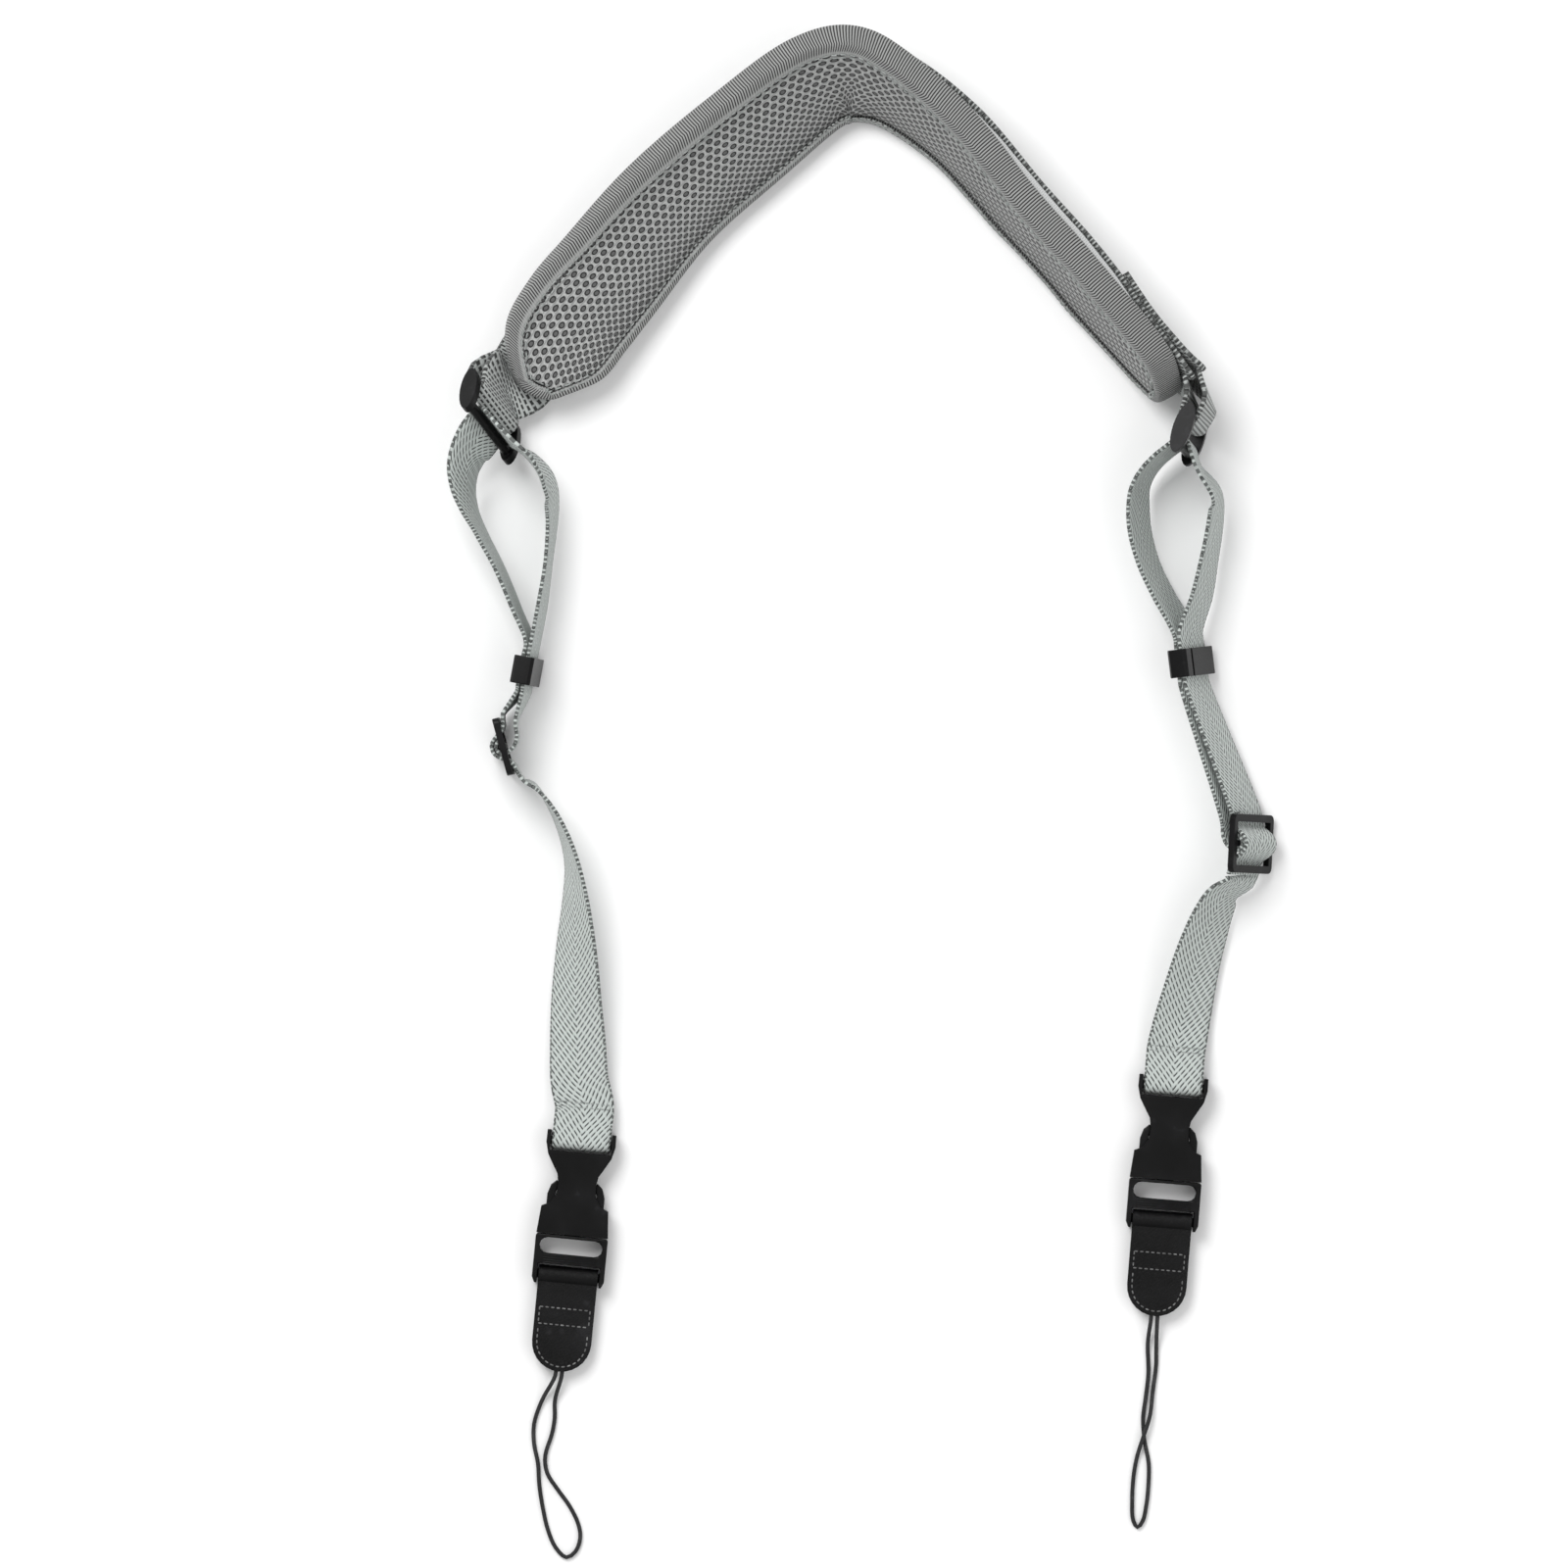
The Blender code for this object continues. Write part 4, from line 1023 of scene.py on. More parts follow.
@dataclass(frozen=True)
class Skin:
    """The swollen foam's surface, which the lining and the cover lie on."""

    places: Sequence[Vector]
    bands: Sequence[Pair]
    rows: Sequence[Station]

    @property
    def ring(self) -> int:
        """Number of the foam's vertices at one station, face and back together."""
        return len(self.places) // len(self.rows)

    def layer(self, low: int, off: Callable[[float, float], float]) -> tuple[list[Vector], list[Pair]]:
        """Places over half of each of the foam's rings.

        Args:
            low: First vertex of the half in its ring.
            off: Distance off the foam, from the share of the pad's length and the distance across.

        Returns:
            The places, and their distances along and across.
        """
        verts, used = [], []
        for row, (_, _, face, _) in enumerate(self.rows):
            for lane in range(low, low + self.ring // 2):
                index = row * self.ring + lane
                run, across = self.bands[index]
                verts.append(self.places[index] + face * off(run / self.bands[-1][0], across))
                used.append((run, across))
        return verts, used


@dataclass
class Pad:
    """The padded part: foam, mesh lining, cover, edge band and its webbing."""

    finishes: Finishes
    step: float = 2.5
    edge_inset: float = 2.6
    lip_outer: float = 6.0
    lip_inner: float = 3.4
    lip_end: float = 4.0
    tuck: float = 0.1
    seam_height: float = 5.0
    skin: float = 4.0
    wide: float = 25.0
    wide_thick: float = 1.6
    wide_spacing: float = 1.6
    crown: float = 1.2
    crown_across: Point = (-17.0, -12.5, 12.6, 14.3, 16.4, 17.4)
    crown_shares: Point = (0.0, 0.93, 0.93, 1.45, 0.75, 0.0)
    foam_edge: float = 1.1
    foam_rise: float = 1.7
    swell_frames: int = 20
    skin_thick: float = 0.5

    def frames(self, step: float) -> list[Station]:
        """Centre, width, face and half width at each station along the pad."""
        points = smooth(PAD_ROUTE, step, 2)
        result = []
        for index, (x, y, tilt, lift, half) in enumerate(points):
            before, after = points[max(index - 1, 0)], points[min(index + 1, len(points) - 1)]
            along = Vector((after[0] - before[0], after[1] - before[1], 0.0)).normalized()
            side = Vector((-along.y, along.x, 0.0))
            turn = math.radians(tilt)
            width = math.cos(turn) * side + math.sin(turn) * UP
            face = math.cos(turn) * UP - math.sin(turn) * side
            height = half * math.sin(turn) + PAD_HALF * math.cos(turn) + lift
            result.append((Vector((x, y, height)), width, face, half))
        return result

    def crease(self, run: float, across: float, middle: float) -> float:
        """Depth of the wrinkles where the pad bends hardest."""
        deepest, reach, pitch = 0.9, 16.0, 8.5
        near = math.exp(-(((run - middle) / reach) ** 2))
        inner = min(max((12.0 - across) / 26.0, 0.0), 1.0)
        fan = (run - middle) * (1.0 + 0.4 * inner)
        return near * inner * deepest * math.cos(fan * math.tau / pitch)

    def zigzag(self, run: float, lane: float, middle: float) -> float:
        """How far the lining's rows are pushed aside by the wrinkles."""
        widest, reach, pitch = 3.4, 11.0, 11.0
        past = run - middle - 1.0
        near = math.exp(-((past / reach) ** 2))
        inner = max(0.15 - lane, 0.0) * max(1.0 - lane**8, 0.0)
        return near * inner * widest * math.cos(past * math.tau / pitch)

    def swell(self, piece: bpy.types.Object, pinned: list[int]) -> None:
        """Inflate the foam with the rim held, and keep the result.

        Args:
            piece: The closed foam mesh.
            pinned: Vertices that stay where they are.
        """
        rest = [v.co.copy() for v in piece.data.vertices]
        group = piece.vertex_groups.new(name="rim")
        group.add(pinned, 1.0, "REPLACE")
        cloth = piece.modifiers.new("swell", "CLOTH")
        settings = cloth.settings
        settings.quality = 4
        settings.mass = 0.2
        settings.tension_stiffness = 12
        settings.compression_stiffness = 12
        settings.bending_stiffness = 0.6
        settings.use_pressure = True
        settings.uniform_pressure_force = 4.0
        settings.vertex_group_mass = "rim"
        settings.effector_weights.gravity = 0.0
        cloth.point_cache.frame_start = 1
        cloth.point_cache.frame_end = self.swell_frames
        scene = bpy.context.scene
        for step in range(1, self.swell_frames + 1):
            scene.frame_set(step)
        depsgraph = bpy.context.evaluated_depsgraph_get()
        swollen = piece.evaluated_get(depsgraph)
        places = [v.co.copy() for v in swollen.data.vertices]
        piece.modifiers.remove(cloth)
        most = self.crown * MM
        for vertex, start, end in zip(piece.data.vertices, rest, places):
            moved = end - start
            if moved.length > most:
                moved = moved * (most / moved.length)
            vertex.co = start + moved
        scene.frame_set(1)

    def build_cushion(self) -> None:
        """Foam swollen by simulation, with its lining and cover laid over it."""
        rows = self.frames(self.step)[1:-1]
        lanes = [math.sin(angle) for angle in turns(-90, 90, 16)]
        runs, middle = self.middle_run(rows)
        verts, bands, pinned = [], [], []
        for row, (centre, width, face, half) in enumerate(rows):
            edge = half - self.edge_inset
            for side in (1.0, -1.0):
                for lane in lanes if side > 0 else lanes[::-1]:
                    depth = self.foam_edge + self.foam_rise * math.sqrt(max(1.0 - lane**6, 0.0))
                    aside = 0.0
                    if side > 0:
                        depth += self.crease(runs[row], lane * edge, middle)
                        aside = self.zigzag(runs[row], lane, middle)
                    if abs(lane) > 0.97 or row in (0, len(rows) - 1):
                        pinned.append(len(verts))
                    drawn = self.inner_round(runs[row], middle) * min(lane, 0.0) ** 2
                    place = centre + width * (lane * edge + aside) + face * (side * depth)
                    verts.append(place + self.level(-width) * drawn)
                    bands.append((runs[row], lane * edge))
        ring = 2 * len(lanes)
        faces = tube_faces(len(rows), ring)
        foam = new_piece("pad_foam", verts, faces, bands, self.finishes.foam)
        self.swell(foam, pinned)
        places = [v.co / MM + SHIFT for v in foam.data.vertices]
        foam_skin = Skin(places, bands, rows)
        self.lay_lining(foam_skin)
        self.lay_cover(foam_skin)
        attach(foam, "pad")
        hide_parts("foam_core")
        LOG.info("pad foam: %d vertices", len(foam.data.vertices))

    def lay_lining(self, foam: Skin) -> None:
        """The mesh lining, laid just off the foam's face."""
        rows, half_ring = len(foam.rows), foam.ring // 2
        verts, used = foam.layer(0, lambda share, across: 1.0)
        faces = [face[::-1] for face in grid_faces(rows, half_ring, False, False)]
        piece = new_piece("pad_lining", verts, faces, used, self.finishes.mesh)
        self.fit_skin(piece, "mesh_lining")

    def lay_cover(self, foam: Skin) -> None:
        """The smooth cover, laid off the foam's back with its bulge."""
        rows, half_ring = len(foam.rows), foam.ring // 2
        verts, used = foam.layer(half_ring, lambda share, across: -1.0 - self.crown_by(share, across))
        faces = grid_faces(rows, half_ring, False, False)
        piece = new_piece("pad_cover", verts, faces, used, self.finishes.cover)
        self.fit_skin(piece, "outer_cover")

    def fit_skin(self, piece: bpy.types.Object, stands_for: str) -> None:
        """Give a skin its thickness and its place in the frame.

        Args:
            piece: The skin.
            stands_for: The frame's node it replaces.
        """
        shell = piece.modifiers.new("thickness", "SOLIDIFY")
        shell.thickness = self.skin_thick * MM
        shell.offset = 1.0
        round_off(piece)
        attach(piece, "pad")
        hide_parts(stands_for)
        LOG.info("%s: %d vertices", piece.name, len(piece.data.vertices))

    def crown_by(self, share: float, across: float) -> float:
        """How far the cover bulges beyond the foam's back.

        Args:
            share: Share of the pad's length.
            across: Distance from the centre line, towards the outer edge.

        Returns:
            The extra depth of the cover.
        """
        places = np.array([entry[:2] for entry in PAD_ROUTE])
        spans = np.hypot(*np.diff(places, axis=0).T)
        shares = np.concatenate(([0.0], np.cumsum(spans))) / spans.sum()
        entries = [BULGE.get(index, 0.0) for index in range(len(PAD_ROUTE))]
        bulge = float(np.interp(share, shares, entries))
        return bulge * float(np.interp(across, self.crown_across, self.crown_shares))

    def middle_run(self, rows: Sequence[Station]) -> tuple[list[float], float]:
        """Distance of each station, and of the one where the pad bends hardest."""
        runs = [0.0]
        for before, after in zip(rows, rows[1:]):
            runs.append(runs[-1] + (after[0] - before[0]).length)
        return runs, runs[max(range(len(rows)), key=lambda k: rows[k][0].y)]

    def level(self, width: Vector) -> Vector:
        """The plan direction of a width."""
        return Vector((width.x, width.y, 0.0)).normalized()

    def inner_round(self, run: float, middle: float) -> float:
        """How far the inner edge is drawn in, which rounds the bend."""
        most, reach = 3.2, 8.5
        return most * math.exp(-(((run - middle - 4.0) / reach) ** 2))

    def rim(self) -> list[Station]:
        """Edge place, outward direction, face and lip length round the pad."""
        rows = self.frames(self.step)
        stations = [(c + w * (h - self.tuck), w, f, self.lip_outer) for c, w, f, h in rows]
        stations += self.rim_end(rows[-1], rows[-2], 1.0)
        runs, middle = self.middle_run(rows)
        for run, (c, w, f, h) in reversed(list(zip(runs, rows))):
            place = c - w * (h - self.tuck) + self.level(-w) * self.inner_round(run, middle)
            stations.append((place, -w, f, self.lip_inner))
        stations += self.rim_end(rows[0], rows[1], -1.0)
        return stations

    def rim_end(self, row: Station, neighbour: Station, sign: float) -> list[Station]:
        """Rim stations across a short end of the pad.

        Args:
            row: The end station.
            neighbour: The station next to it.
            sign: 1 if the rim crosses from the outer to the inner edge.

        Returns:
            The stations across the end.
        """
        centre, width, face, half = row
        along = (centre - neighbour[0]).normalized()
        result = []
        for share, out in ((0.75, 1.2), (0.4, 2.2), (0.0, 2.6), (-0.4, 2.2), (-0.75, 1.2)):
            place = centre + width * (half * share * sign) + along * out
            outward = (width * (share * sign) + along * 1.2).normalized()
            result.append((place, outward, face, self.lip_end))
        return result

    def build_edge(self) -> None:
        """The ribbed band folded over the pad's rim, and its seam."""
        verts, bands = [], []
        stations = self.rim()
        run = 0.0
        near_seam, far_seam = [], []
        for index, (place, outward, face, lip) in enumerate(stations):
            if index:
                run += (place - stations[index - 1][0]).length
            # a sewn band is never quite even
            bend = 0.12 * math.sin(run / 7.0) + 0.08 * math.sin(run / 2.9)
            # half of its section: distance outwards, and height off the pad's middle
            ring = [(0.55, 3.0), (0.05, 4.3), (-0.8, 4.85 + bend * 0.3), (-lip * 0.6, 4.95 + bend)]
            ring += [(-lip + 0.3, 4.75 + bend), (-lip, 4.35), (-lip + 0.5, 4.0), (-1.6, 4.1)]
            ring += [(-0.9, 2.6)]
            whole = [*ring, *[(x, -y) for x, y in reversed(ring)]]
            for x, y in whole:
                verts.append(place + outward * x + face * y)
                bands.append((run, x * self.lip_outer / lip))
            on_band, beside = lip - 0.9, lip + 0.7
            near_seam.append((place - outward * on_band + face * (self.seam_height + bend), face))
            far_seam.append((place - outward * beside + face * (self.seam_height - 0.05), face))
        faces = grid_faces(len(stations), len(verts) // len(stations), True, True)
        band = new_piece("edge_band", verts, faces, bands, self.finishes.edge_band)
        round_off(band)
        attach(band, "pad")
        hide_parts("edge_binding")
        thread = Stitches(radius=0.25, share=0.7)
        thread.row(near_seam)
        thread.row(far_seam)
        piece = thread.build("pad_seam_stitches", self.finishes.web_thread)
        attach(piece, "pad")
        LOG.info("edge band: %d vertices", len(verts))

    def wide_wrap(self, ring: Axes) -> list[Point]:
        """The wide webbing's turn round a ring's bar."""
        radius = RING_BAR + GAP + self.wide_thick / 2
        reach, out = 12.4, radius + 0.4
        width = tuple(-ring.a)
        stations = [(*ring.at(0, -reach, out), *width)]
        for angle in turns(95, -95, 8):
            place = ring.at(0, radius * math.cos(angle) - RING_REACH, radius * math.sin(angle))
            stations.append((*place, *width))
        stations.append((*ring.at(0, -reach, -out), *width))
        return stations

    def webbing_route(self) -> list[Point]:
        """The wide webbing: sewn end, ring, back of the pad, ring, sewn end."""
        # a step longer than any span leaves one station at each entry of the centre line
        rows = self.frames(1000.0)
        near = -(self.skin + 2 * GAP + self.wide_thick / 2)
        end = -(PAD_HALF + 2 * GAP + self.wide_thick / 2)
        step = self.wide_thick + 2 * GAP
        far = near - step

        def under(index: int, depth: float, aside: float = 0.0) -> Point:
            """A station below the pad's back."""
            centre, width, face, _ = rows[index]
            return (*(centre + face * depth + width * aside), *width)

        route = [under(3, far), under(2, far - 0.3, 1.5), under(1, end - step, 3.5)]
        route.append(under(0, end - 1.5 * step, 5.0))
        route += self.wide_wrap(LEFT.ring)
        route += [under(0, end - 0.8, 5.0), under(1, end, 3.5), under(2, near, 1.5)]
        route += [under(index, near - BULGE.get(index, 0.0)) for index in range(3, 14)]
        route += [under(14, end - 0.6), under(15, end - 0.8)]
        route += self.wide_wrap(RIGHT.ring)
        route += [under(15, end - 2.5 * step), under(14, end - 1.6 * step)]
        route += [under(13, far - BULGE[13]), under(12, far - BULGE[12] - 0.2)]
        return route

    def build_webbing(self) -> None:
        """The wide webbing along the pad's back, and its bar tacks."""
        strip = Strip(smooth(self.webbing_route(), self.wide_spacing), self.wide, self.wide_thick)
        piece = strip.build("spine_webbing_woven", self.finishes.wide_webbing)
        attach(piece, "pad")
        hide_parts("spine_webbing")
        total = strip.frames()[-1][3]
        thread = Stitches(radius=0.3, share=0.75)
        for start in (2.0, 5.0, total - 6.0, total - 3.0):
            for side in (1.0, -1.0):
                thread.row([strip.surface_point(start, lane / 6, side) for lane in range(-5, 6)])
        tacks = thread.build("spine_webbing_tacks", self.finishes.web_thread)
        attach(tacks, "pad")
        LOG.info("wide webbing: %.0f mm", total)

    def build(self) -> None:
        """Every piece of the pad."""
        self.build_cushion()
        self.build_edge()
        self.build_webbing()


# ---------------------------------------------------------------- straps


@dataclass
class Strap:
    """One side's slim webbing, from the ring to the buckle."""

    plan: StrapPlan
    finishes: Finishes
    width: float = 20.0
    thick: float = 1.2
    ring_shift: float = 1.5
    ring_turn: float = 55.0
    ring_run: float = 5.0
    ease_share: float = 1.05
    sewn_radius: float = 2.4
    socket_bar: float = 1.5
    spacing: float = 1.4

    @property
    def ring_radius(self) -> float:
        """Radius of the webbing's middle round a ring's bar."""
        return RING_BAR + GAP + self.thick / 2

    def body(self, word: str) -> str:
        """The name of this side's body."""
        return f"{word}_{self.plan.name}"

    def ease(
        self, first: tuple[Vector, Vector, Vector], last: tuple[Vector, Vector, Vector], steps: int
    ) -> list[Point]:
        """Stations from one place, direction and width to another.

        Args:
            first: Place, direction and width at the start.
            last: The same at the end.
            steps: Number of spans.

        Returns:
            The stations between the two ends.
        """
        reach = (last[0] - first[0]).length * self.ease_share
        stations = []
        for step in range(1, steps):
            t = step / steps
            place = first[0] * (2 * t**3 - 3 * t**2 + 1) + last[0] * (3 * t**2 - 2 * t**3)
            place += reach * (first[1] * (t**3 - 2 * t**2 + t) + last[1] * (t**3 - t**2))
            stations.append((*place, *first[2].lerp(last[2], t)))
        return stations

    def departure(self, way: float) -> tuple[Vector, Vector, Vector]:
        """Where the webbing leaves the ring, way being -1 or 1 along c."""
        ring, radius = self.plan.ring, self.ring_radius
        leave = math.radians(self.ring_turn)
        along = math.sin(leave) * ring.b + way * math.cos(leave) * ring.c
        down = RING_REACH - radius * math.cos(leave)
        place = ring.at(self.ring_shift, down, way * radius * math.sin(leave))
        return place + along * self.ring_run, along, ring.a

    def round_ring(self) -> list[Point]:
        """Stations of both legs' tops and the turn between them."""
        ring, radius, turn = self.plan.ring, self.ring_radius, self.plan.outward
        halves = []
        for way, leg in ((-turn, self.plan.sewn_leg), (turn, self.plan.main_leg)):
            departure = self.departure(way)
            place = Vector(leg[0][:3])
            along = (Vector(leg[1][:3]) - place).normalized()
            arrival = (place, along, Vector(leg[0][3:]).normalized())
            halves.append([(*departure[0], *departure[2]), *self.ease(departure, arrival, 5)])
        middle = []
        swing = turn * self.ring_turn
        for angle in turns(180 + swing, 180 - swing, 6):
            down = RING_REACH + radius * math.cos(angle)
            place = ring.at(self.ring_shift, down, radius * math.sin(angle))
            middle.append((*place, *ring.a))
        return [*reversed(halves[0]), *middle, *halves[1]]

    def by_adjuster(self, along: float, out: float) -> Point:
        """A station in the adjuster's axes, flat against its bars."""
        axes = self.plan.adjuster
        return (*axes.at(along, 0, self.plan.outward * -out), *axes.b)

    def by_keeper(self, along: float, out: float) -> Point:
        """A station inside the keeper."""
        axes = self.plan.keeper
        return (*axes.at(along, 0, self.plan.outward * -out), *axes.b)

    def round_bar(self, radius: float, start: float, end: float, steps: int) -> list[Point]:
        """Stations round the adjuster's middle bar."""
        return [
            self.by_adjuster(-radius * math.sin(angle), radius * math.cos(angle))
            for angle in turns(start, end, steps)
        ]

    def loop_route(self) -> list[Point]:
        """Sewn end, bar, sewn leg, keeper, ring, main leg, keeper, bight."""
        layer = (self.thick + 0.5) / 2
        above, upper, lower, below = -9.6, -4.6, 4.6, 7.0
        route = self.round_bar(self.sewn_radius, 105, -125, 9)
        route += [self.by_adjuster(*place) for place in ((0.9, -3.6), (-2.0, -5.4), (-7.0, -6.2))]
        route += [self.by_keeper(below, -layer - 0.1), self.by_keeper(lower, -layer)]
        route += [self.by_keeper(upper, -layer), self.by_keeper(above, -layer - 0.1)]
        route += reversed(self.plan.sewn_leg[:-1])
        route += self.round_ring()
        route += self.plan.main_leg[:-1]
        route += [self.by_keeper(along, layer) for along in (above, upper, lower)]
        route.append(self.by_keeper(below, layer + 0.1))
        dive = ((10.6, -2.7), (8.8, -2.2), (7.2, -2.0), (5.5, -1.1), (4.5, 0.4))
        route += [self.by_adjuster(-along, out) for along, out in dive]
        route += self.round_bar(self.sewn_radius + self.thick + GAP, 55, -55, 6)
        route += [self.by_adjuster(along, out) for along, out in reversed(dive)]
        return route

    def lower_route(self) -> list[Point]:
        """From below the adjuster, round the socket's bar, to the sewn end."""
        axes = self.plan.buckle
        mid = self.thick / 2 + 0.2
        radius = self.socket_bar + GAP + self.thick / 2
        width = tuple(axes.b * -self.plan.outward)
        route = [self.by_adjuster(10.9, -2.85), self.by_adjuster(13.2, -3.7), *self.plan.lower_run]
        start, bar = -13.0, -6.5
        route += [(*axes.at(along, 0, up), *width) for along, up in ((start, mid), (bar, mid + 0.5))]
        for angle in turns(105, -105, 8):
            place = axes.at(radius * math.cos(angle) - 0.8, 0, radius * math.sin(angle))
            route.append((*place, *width))
        route += [(*axes.at(along, 0, up), *width) for along, up in ((bar, -mid - 0.5), (start, -mid))]
        return route

    def build_loop(self) -> None:
        """The loop of webbing from the adjuster up to the ring and back."""
        name = self.plan.name
        strip = Strip(smooth(self.loop_route(), self.spacing), self.width, self.thick)
        piece = strip.build(f"loop_webbing_woven_{name}", self.finishes.slim_webbing)
        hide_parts(f"loop_webbing_{name}")
        keeper, adjuster = self.plan.keeper, self.plan.adjuster
        start, end = to_frame(keeper.at(8.0, 0, 0)), to_frame(adjuster.at(-9.0, 0, 0))
        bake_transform(piece)
        LOG.info("loop webbing %s: %.0f mm", name, strip.frames()[-1][3])

    def build_lower(self) -> None:
        """The lower webbing down to the buckle, with its sewn fold."""
        name = self.plan.name
        strip = Strip(smooth(self.lower_route(), self.spacing), self.width, self.thick)
        piece = strip.build(f"lower_webbing_woven_{name}", self.finishes.slim_webbing)
        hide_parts(f"lower_webbing_{name}")
        adjuster, buckle = self.plan.adjuster, self.plan.buckle
        start, end = to_frame(adjuster.at(11.0, 0, 0)), to_frame(buckle.at(-20.0, 0, 0))
        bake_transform(piece)
        thread = Stitches(radius=0.24, share=0.7)
        pitch, height = 1.8, 1.35
        for along in (-14.2, -12.6):
            thread.row([(buckle.at(along, v * pitch, height), UP) for v in range(-5, 6)])
        seam = thread.build(f"lower_webbing_seam_{name}", self.finishes.web_thread)
        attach(seam, self.body("lower"))
        LOG.info("lower webbing %s: %.0f mm", name, strip.frames()[-1][3])

    def build(self) -> None:
        """Both runs of webbing."""
        self.build_loop()
        self.build_lower()


# ---------------------------------------------------------------- fittings


@dataclass
class Fittings:
    """The moulded fittings of one side, carried over from the frame."""

    plan: StrapPlan
    finishes: Finishes
    bevels: dict[str, float] = field(
        default_factory=lambda: {
            "ring": 0.7,
            "keeper": 0.35,
            "adjuster": 0.5,
            "socket": 0.9,
            "clip": 0.7,
            "prong_near": 0.4,
            "prong_far": 0.4,
        }
    )
    corner: float = 38.0
    ridges: int = 4
    first_ridge: float = 38.35
    ridge_pitch: float = 0.8
    ridge_radius: float = 0.27
    ridge_sides: int = 8
    grip_height: float = 3.85

    def dress_all(self) -> None:
        """Finish and round each moulded fitting."""
        for word, width in self.bevels.items():
            node = dress(f"{word}_{self.plan.name}", self.finishes.plastic)
            soften(node, width, self.corner)

    def build_grip(self) -> None:
        """Ridges on both sides of the clip's grip bar."""
        verts: list[Vector] = []
        faces: list[Face] = []
        for side in (1.0, -1.0):
            for ridge in range(self.ridges):
                first = len(verts)
                rings = self.ridge(self.first_ridge + ridge * self.ridge_pitch, side)
                verts += rings
                faces += tube_faces(len(rings) // self.ridge_sides, self.ridge_sides, first)
        piece = new_piece(f"clip_grip_{self.plan.name}", verts, faces, None, self.finishes.plastic)
        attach(piece, f"clip_{self.plan.name}")

    def ridge(self, along: float, side: float) -> list[Vector]:
        """Rings of one rounded ridge across the grip bar.

        Args:
            along: Its place along the buckle.
            side: 1 for the front, -1 for the back.

        Returns:
            The rings' vertices, from one end to the other.
        """
        ends = ((-9.4, 0.3), (-9.0, 1.0), (9.0, 1.0), (9.4, 0.3))
        verts = []
        for across, size in ends:
            radius = self.ridge_radius * size
            for corner in range(self.ridge_sides):
                angle = math.tau * corner / self.ridge_sides
                height = side * (self.grip_height + radius * math.sin(angle))
                verts.append(self.plan.buckle.at(along + radius * math.cos(angle), across, height))
        return verts

    def build(self) -> None:
        """Dress the fittings and add the grip."""
        self.dress_all()
        self.build_grip()
        LOG.info("fittings %s: %s", self.plan.name, ", ".join(self.bevels))


@dataclass
class Tab:
    """The leather tab, its stitching and the cord loop."""

    plan: StrapPlan
    finishes: Finishes
    cord_radius: float = 0.7
    cord_spacing: float = 1.6
    leather_edge: float = 0.55
    stitch_height: float = 1.52
    border_inset: float = 1.6
    border_pitch: float = 2.0

    def dress_leather(self) -> None:
        """Round and finish the folded leather."""
        leather = dress(f"leather_tab_{self.plan.name}", self.finishes.leather)
        soften(leather, self.leather_edge, 40)
        dress(f"cord_knot_{self.plan.name}", self.finishes.cord)

    def outline(self, inset: float) -> list[Pair]:
        """The U-shaped stitch line inside the tab's border."""
        half = TAB_HALF - inset
        start, middle, step = 63.4, TAB_END - TAB_HALF, 0.25
        points = [(u, -half) for u in np.arange(start, middle, step)]
        for angle in turns(-90, 90, 60):
            points.append((middle + half * math.cos(angle), half * math.sin(angle)))
        points += [(u, half) for u in np.arange(middle, start, -step)]
        return points

    def spaced(self, points: Sequence[Pair], step: float) -> list[Pair]:
        """Points along a plan line at equal steps."""
        result = [points[0]]
        left = step
        for (u0, v0), (u1, v1) in zip(points, points[1:]):
            span = math.hypot(u1 - u0, v1 - v0)
            done = 0.0
            while span - done >= left:
                done += left
                share = done / span
                result.append((u0 + (u1 - u0) * share, v0 + (v1 - v0) * share))
                left = step
            left -= span - done
        return result

    def build_stitches(self) -> None:
        """Two rows across the tab and one round its border, on both faces."""
        buckle = self.plan.buckle
        thread = Stitches(radius=0.24, share=0.66)
        near, far, aside, pitch = 56.0, 61.7, 8.6, 1.9
        for side in (1.0, -1.0):
            away = UP * side
            height = side * self.stitch_height
            for along in (near, far):
                across = np.arange(-aside, aside + 0.1, pitch)
                thread.row([(buckle.at(along, v, height), away) for v in across])
            for v in (-aside, aside):
                thread.row([(buckle.at(u, v, height), away) for u in np.arange(near, far + 0.3, pitch)])
            border = self.spaced(self.outline(self.border_inset), self.border_pitch)
            thread.row([(buckle.at(u, v, height), away) for u, v in border])
        piece = thread.build(f"tab_stitches_{self.plan.name}", self.finishes.leather_thread)
        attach(piece, f"tab_{self.plan.name}")

    def build_cord(self) -> None:
        """The thin cord loop that leaves the tab and goes back into it."""
        buckle = self.plan.buckle
        inside, aside = (72.9, 74.5, 79.0), 1.1
        starts = [tuple(buckle.at(along, -aside, 0)) for along in inside]
        ends = [tuple(buckle.at(along, aside, 0)) for along in reversed(inside)]
        points = [to_frame(p) for p in smooth([*starts, *self.plan.cord_run, *ends], self.cord_spacing)]
        curve = bpy.data.curves.new(f"cord_{self.plan.name}", "CURVE")
        curve.dimensions = "3D"
        curve.bevel_depth = self.cord_radius * MM
        curve.bevel_resolution = 3
        curve.use_fill_caps = True
        spline = curve.splines.new("POLY")
        spline.points.add(len(points) - 1)
        for target, point in zip(spline.points, points):
            target.co = (*point, 1.0)
        curve.materials.append(self.finishes.cord)
        piece = bpy.data.objects.new(f"cord_{self.plan.name}", curve)
        bpy.context.scene.collection.objects.link(piece)
        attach(piece, f"tab_{self.plan.name}")
        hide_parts(f"cord_loop_{self.plan.name}")

    def build(self) -> None:
        """The leather, its stitches and the cord."""
        self.dress_leather()
        self.build_stitches()
        self.build_cord()


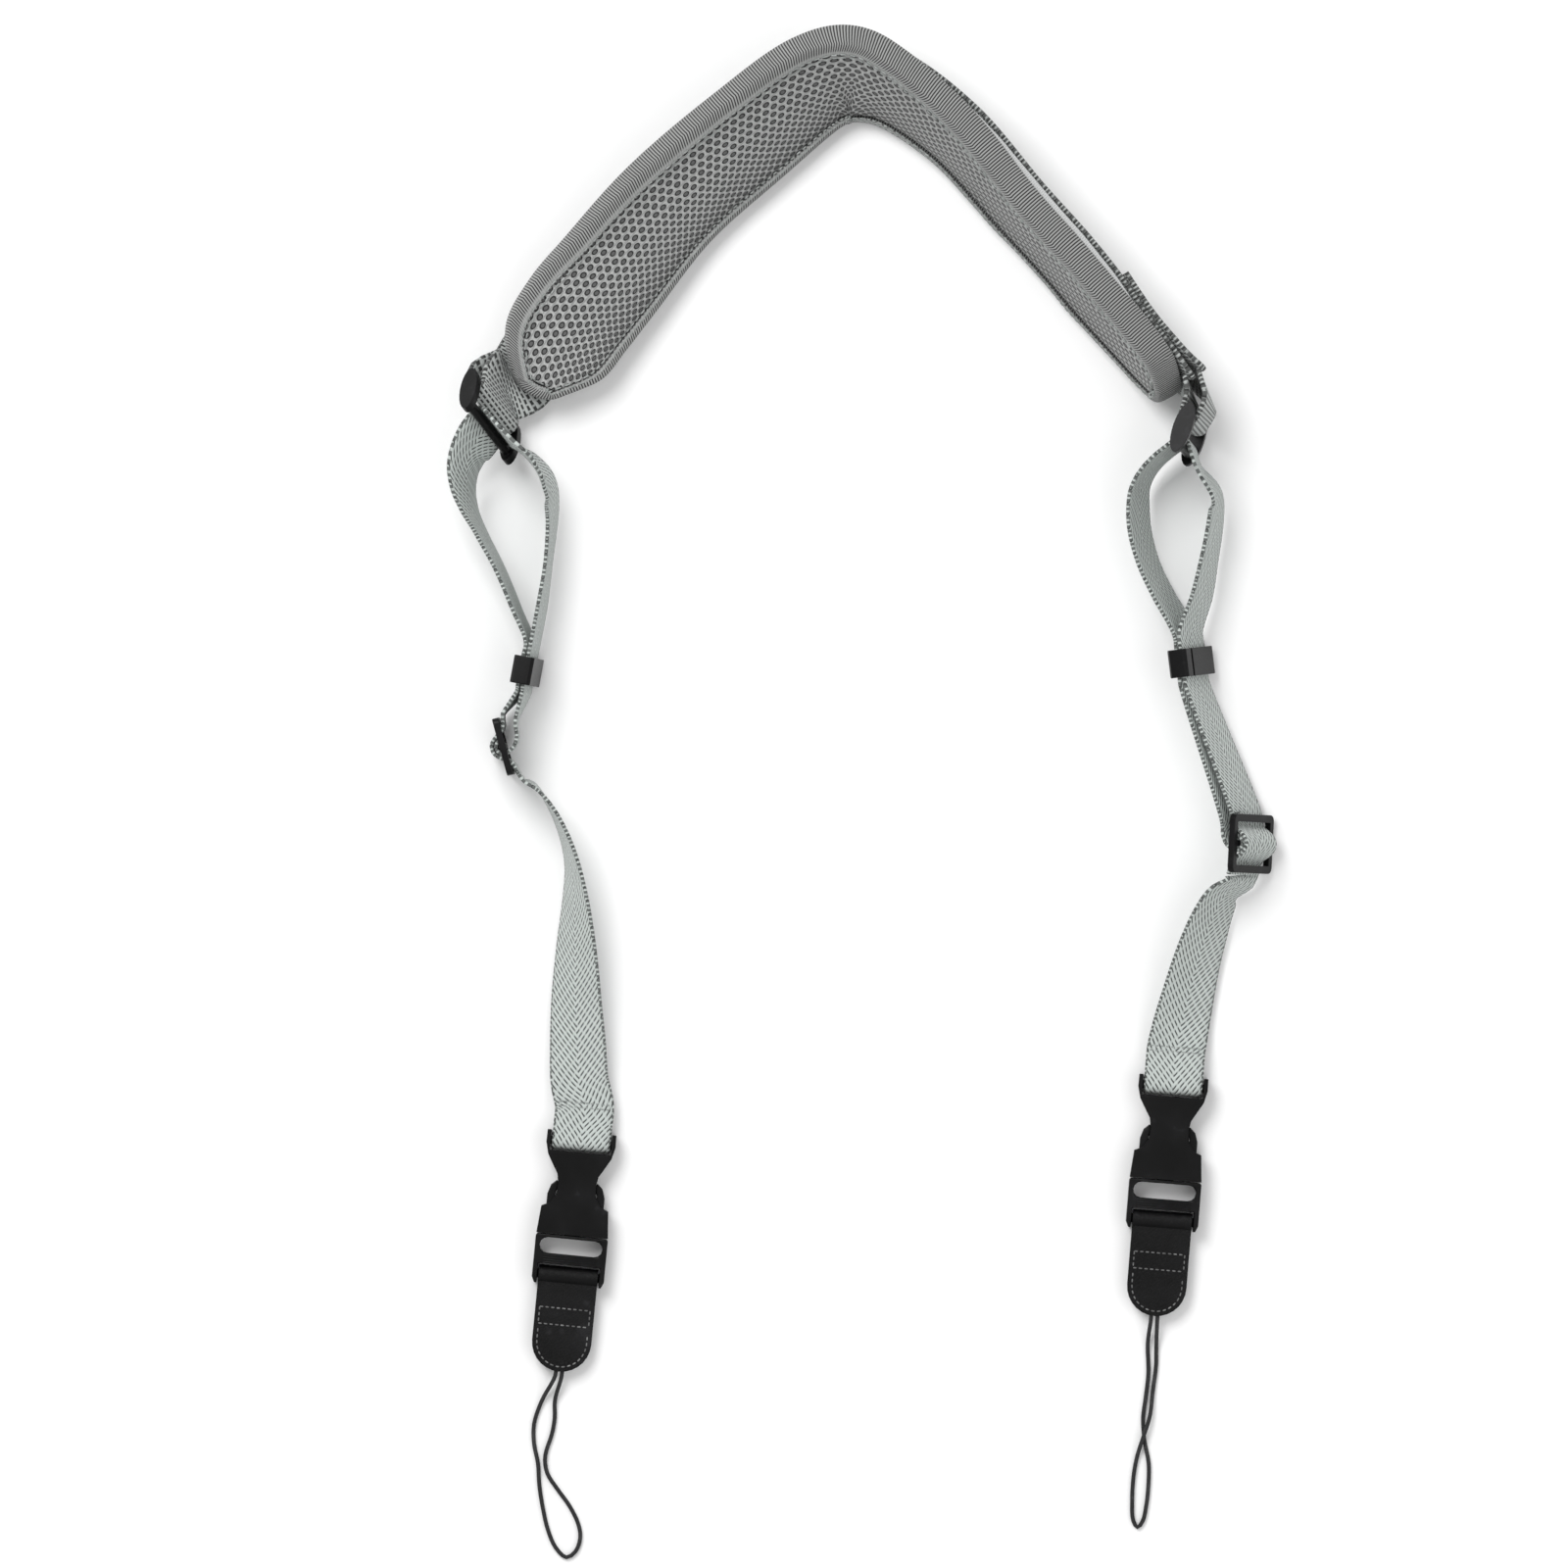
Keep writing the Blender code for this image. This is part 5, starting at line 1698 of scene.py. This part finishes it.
# ---------------------------------------------------------------- studio


@dataclass
class Studio:
    """Floor, lights and camera."""

    finishes: Finishes
    view_width: float = 533.3
    distance: float = 8000.0
    centre: Point = (-29.0, 27.8)
    floor_reach: float = 3.0
    floor_height: float = -0.0001
    surround: float = 0.62

    def build_floor(self) -> None:
        """A plain pale floor under the strap."""
        mesh = bpy.data.meshes.new("floor")
        corners = ((-1, -1), (1, -1), (1, 1), (-1, 1))
        reach = self.floor_reach
        places = [(x * reach, y * reach, self.floor_height) for x, y in corners]
        mesh.from_pydata(places, [], [(0, 1, 2, 3)])
        mesh.materials.append(self.finishes.floor)
        floor = bpy.data.objects.new("floor", mesh)
        bpy.context.scene.collection.objects.link(floor)

    def add_light(self, name: str, place: Point, size: float, power: float) -> None:
        """A soft square light that points at the strap.

        Args:
            name: The light's name.
            place: Where it stands, in metres.
            size: Its side in metres.
            power: Its power in watts.
        """
        data = bpy.data.lights.new(name, "AREA")
        data.size = size
        data.energy = power
        light = bpy.data.objects.new(name, data)
        light.location = place
        light.rotation_mode = "QUATERNION"
        light.rotation_quaternion = (-Vector(place)).to_track_quat("-Z", "Y")
        bpy.context.scene.collection.objects.link(light)

    def build_lights(self) -> None:
        """One key light, one fill and a pale surround."""
        self.add_light("key", (-0.7, 0.9, 1.6), 1.0, 25.0)
        self.add_light("fill", (1.0, -0.6, 1.4), 1.6, 7.0)
        world = bpy.data.worlds.new("studio")
        world.use_nodes = True
        background = world.node_tree.nodes["Background"]
        background.inputs["Color"].default_value = (1.0, 1.0, 1.0, 1.0)
        background.inputs["Strength"].default_value = self.surround
        bpy.context.scene.world = world
        bpy.context.scene.view_settings.view_transform = "Standard"

    def build_camera(self) -> None:
        """A camera straight above the strap."""
        data = bpy.data.cameras.new("camera")
        data.sensor_width = 36.0
        data.lens = data.sensor_width * self.distance / self.view_width
        data.clip_end = 20.0
        camera = bpy.data.objects.new("camera", data)
        x, y = self.centre
        camera.location = to_frame((x, y, self.distance))
        bpy.context.scene.collection.objects.link(camera)
        bpy.context.scene.camera = camera

    def build(self) -> None:
        """The whole studio."""
        self.build_floor()
        self.build_lights()
        self.build_camera()


def main() -> None:
    """Build every sub-assembly in order."""
    logging.basicConfig(level=logging.INFO, format="%(name)s: %(message)s")
    finishes = make_finishes()
    Pad(finishes).build()
    for plan in (LEFT, RIGHT):
        Strap(plan, finishes).build()
        Fittings(plan, finishes).build()
        Tab(plan, finishes).build()
    Studio(finishes).build()


if __name__ == "__main__":
    main()
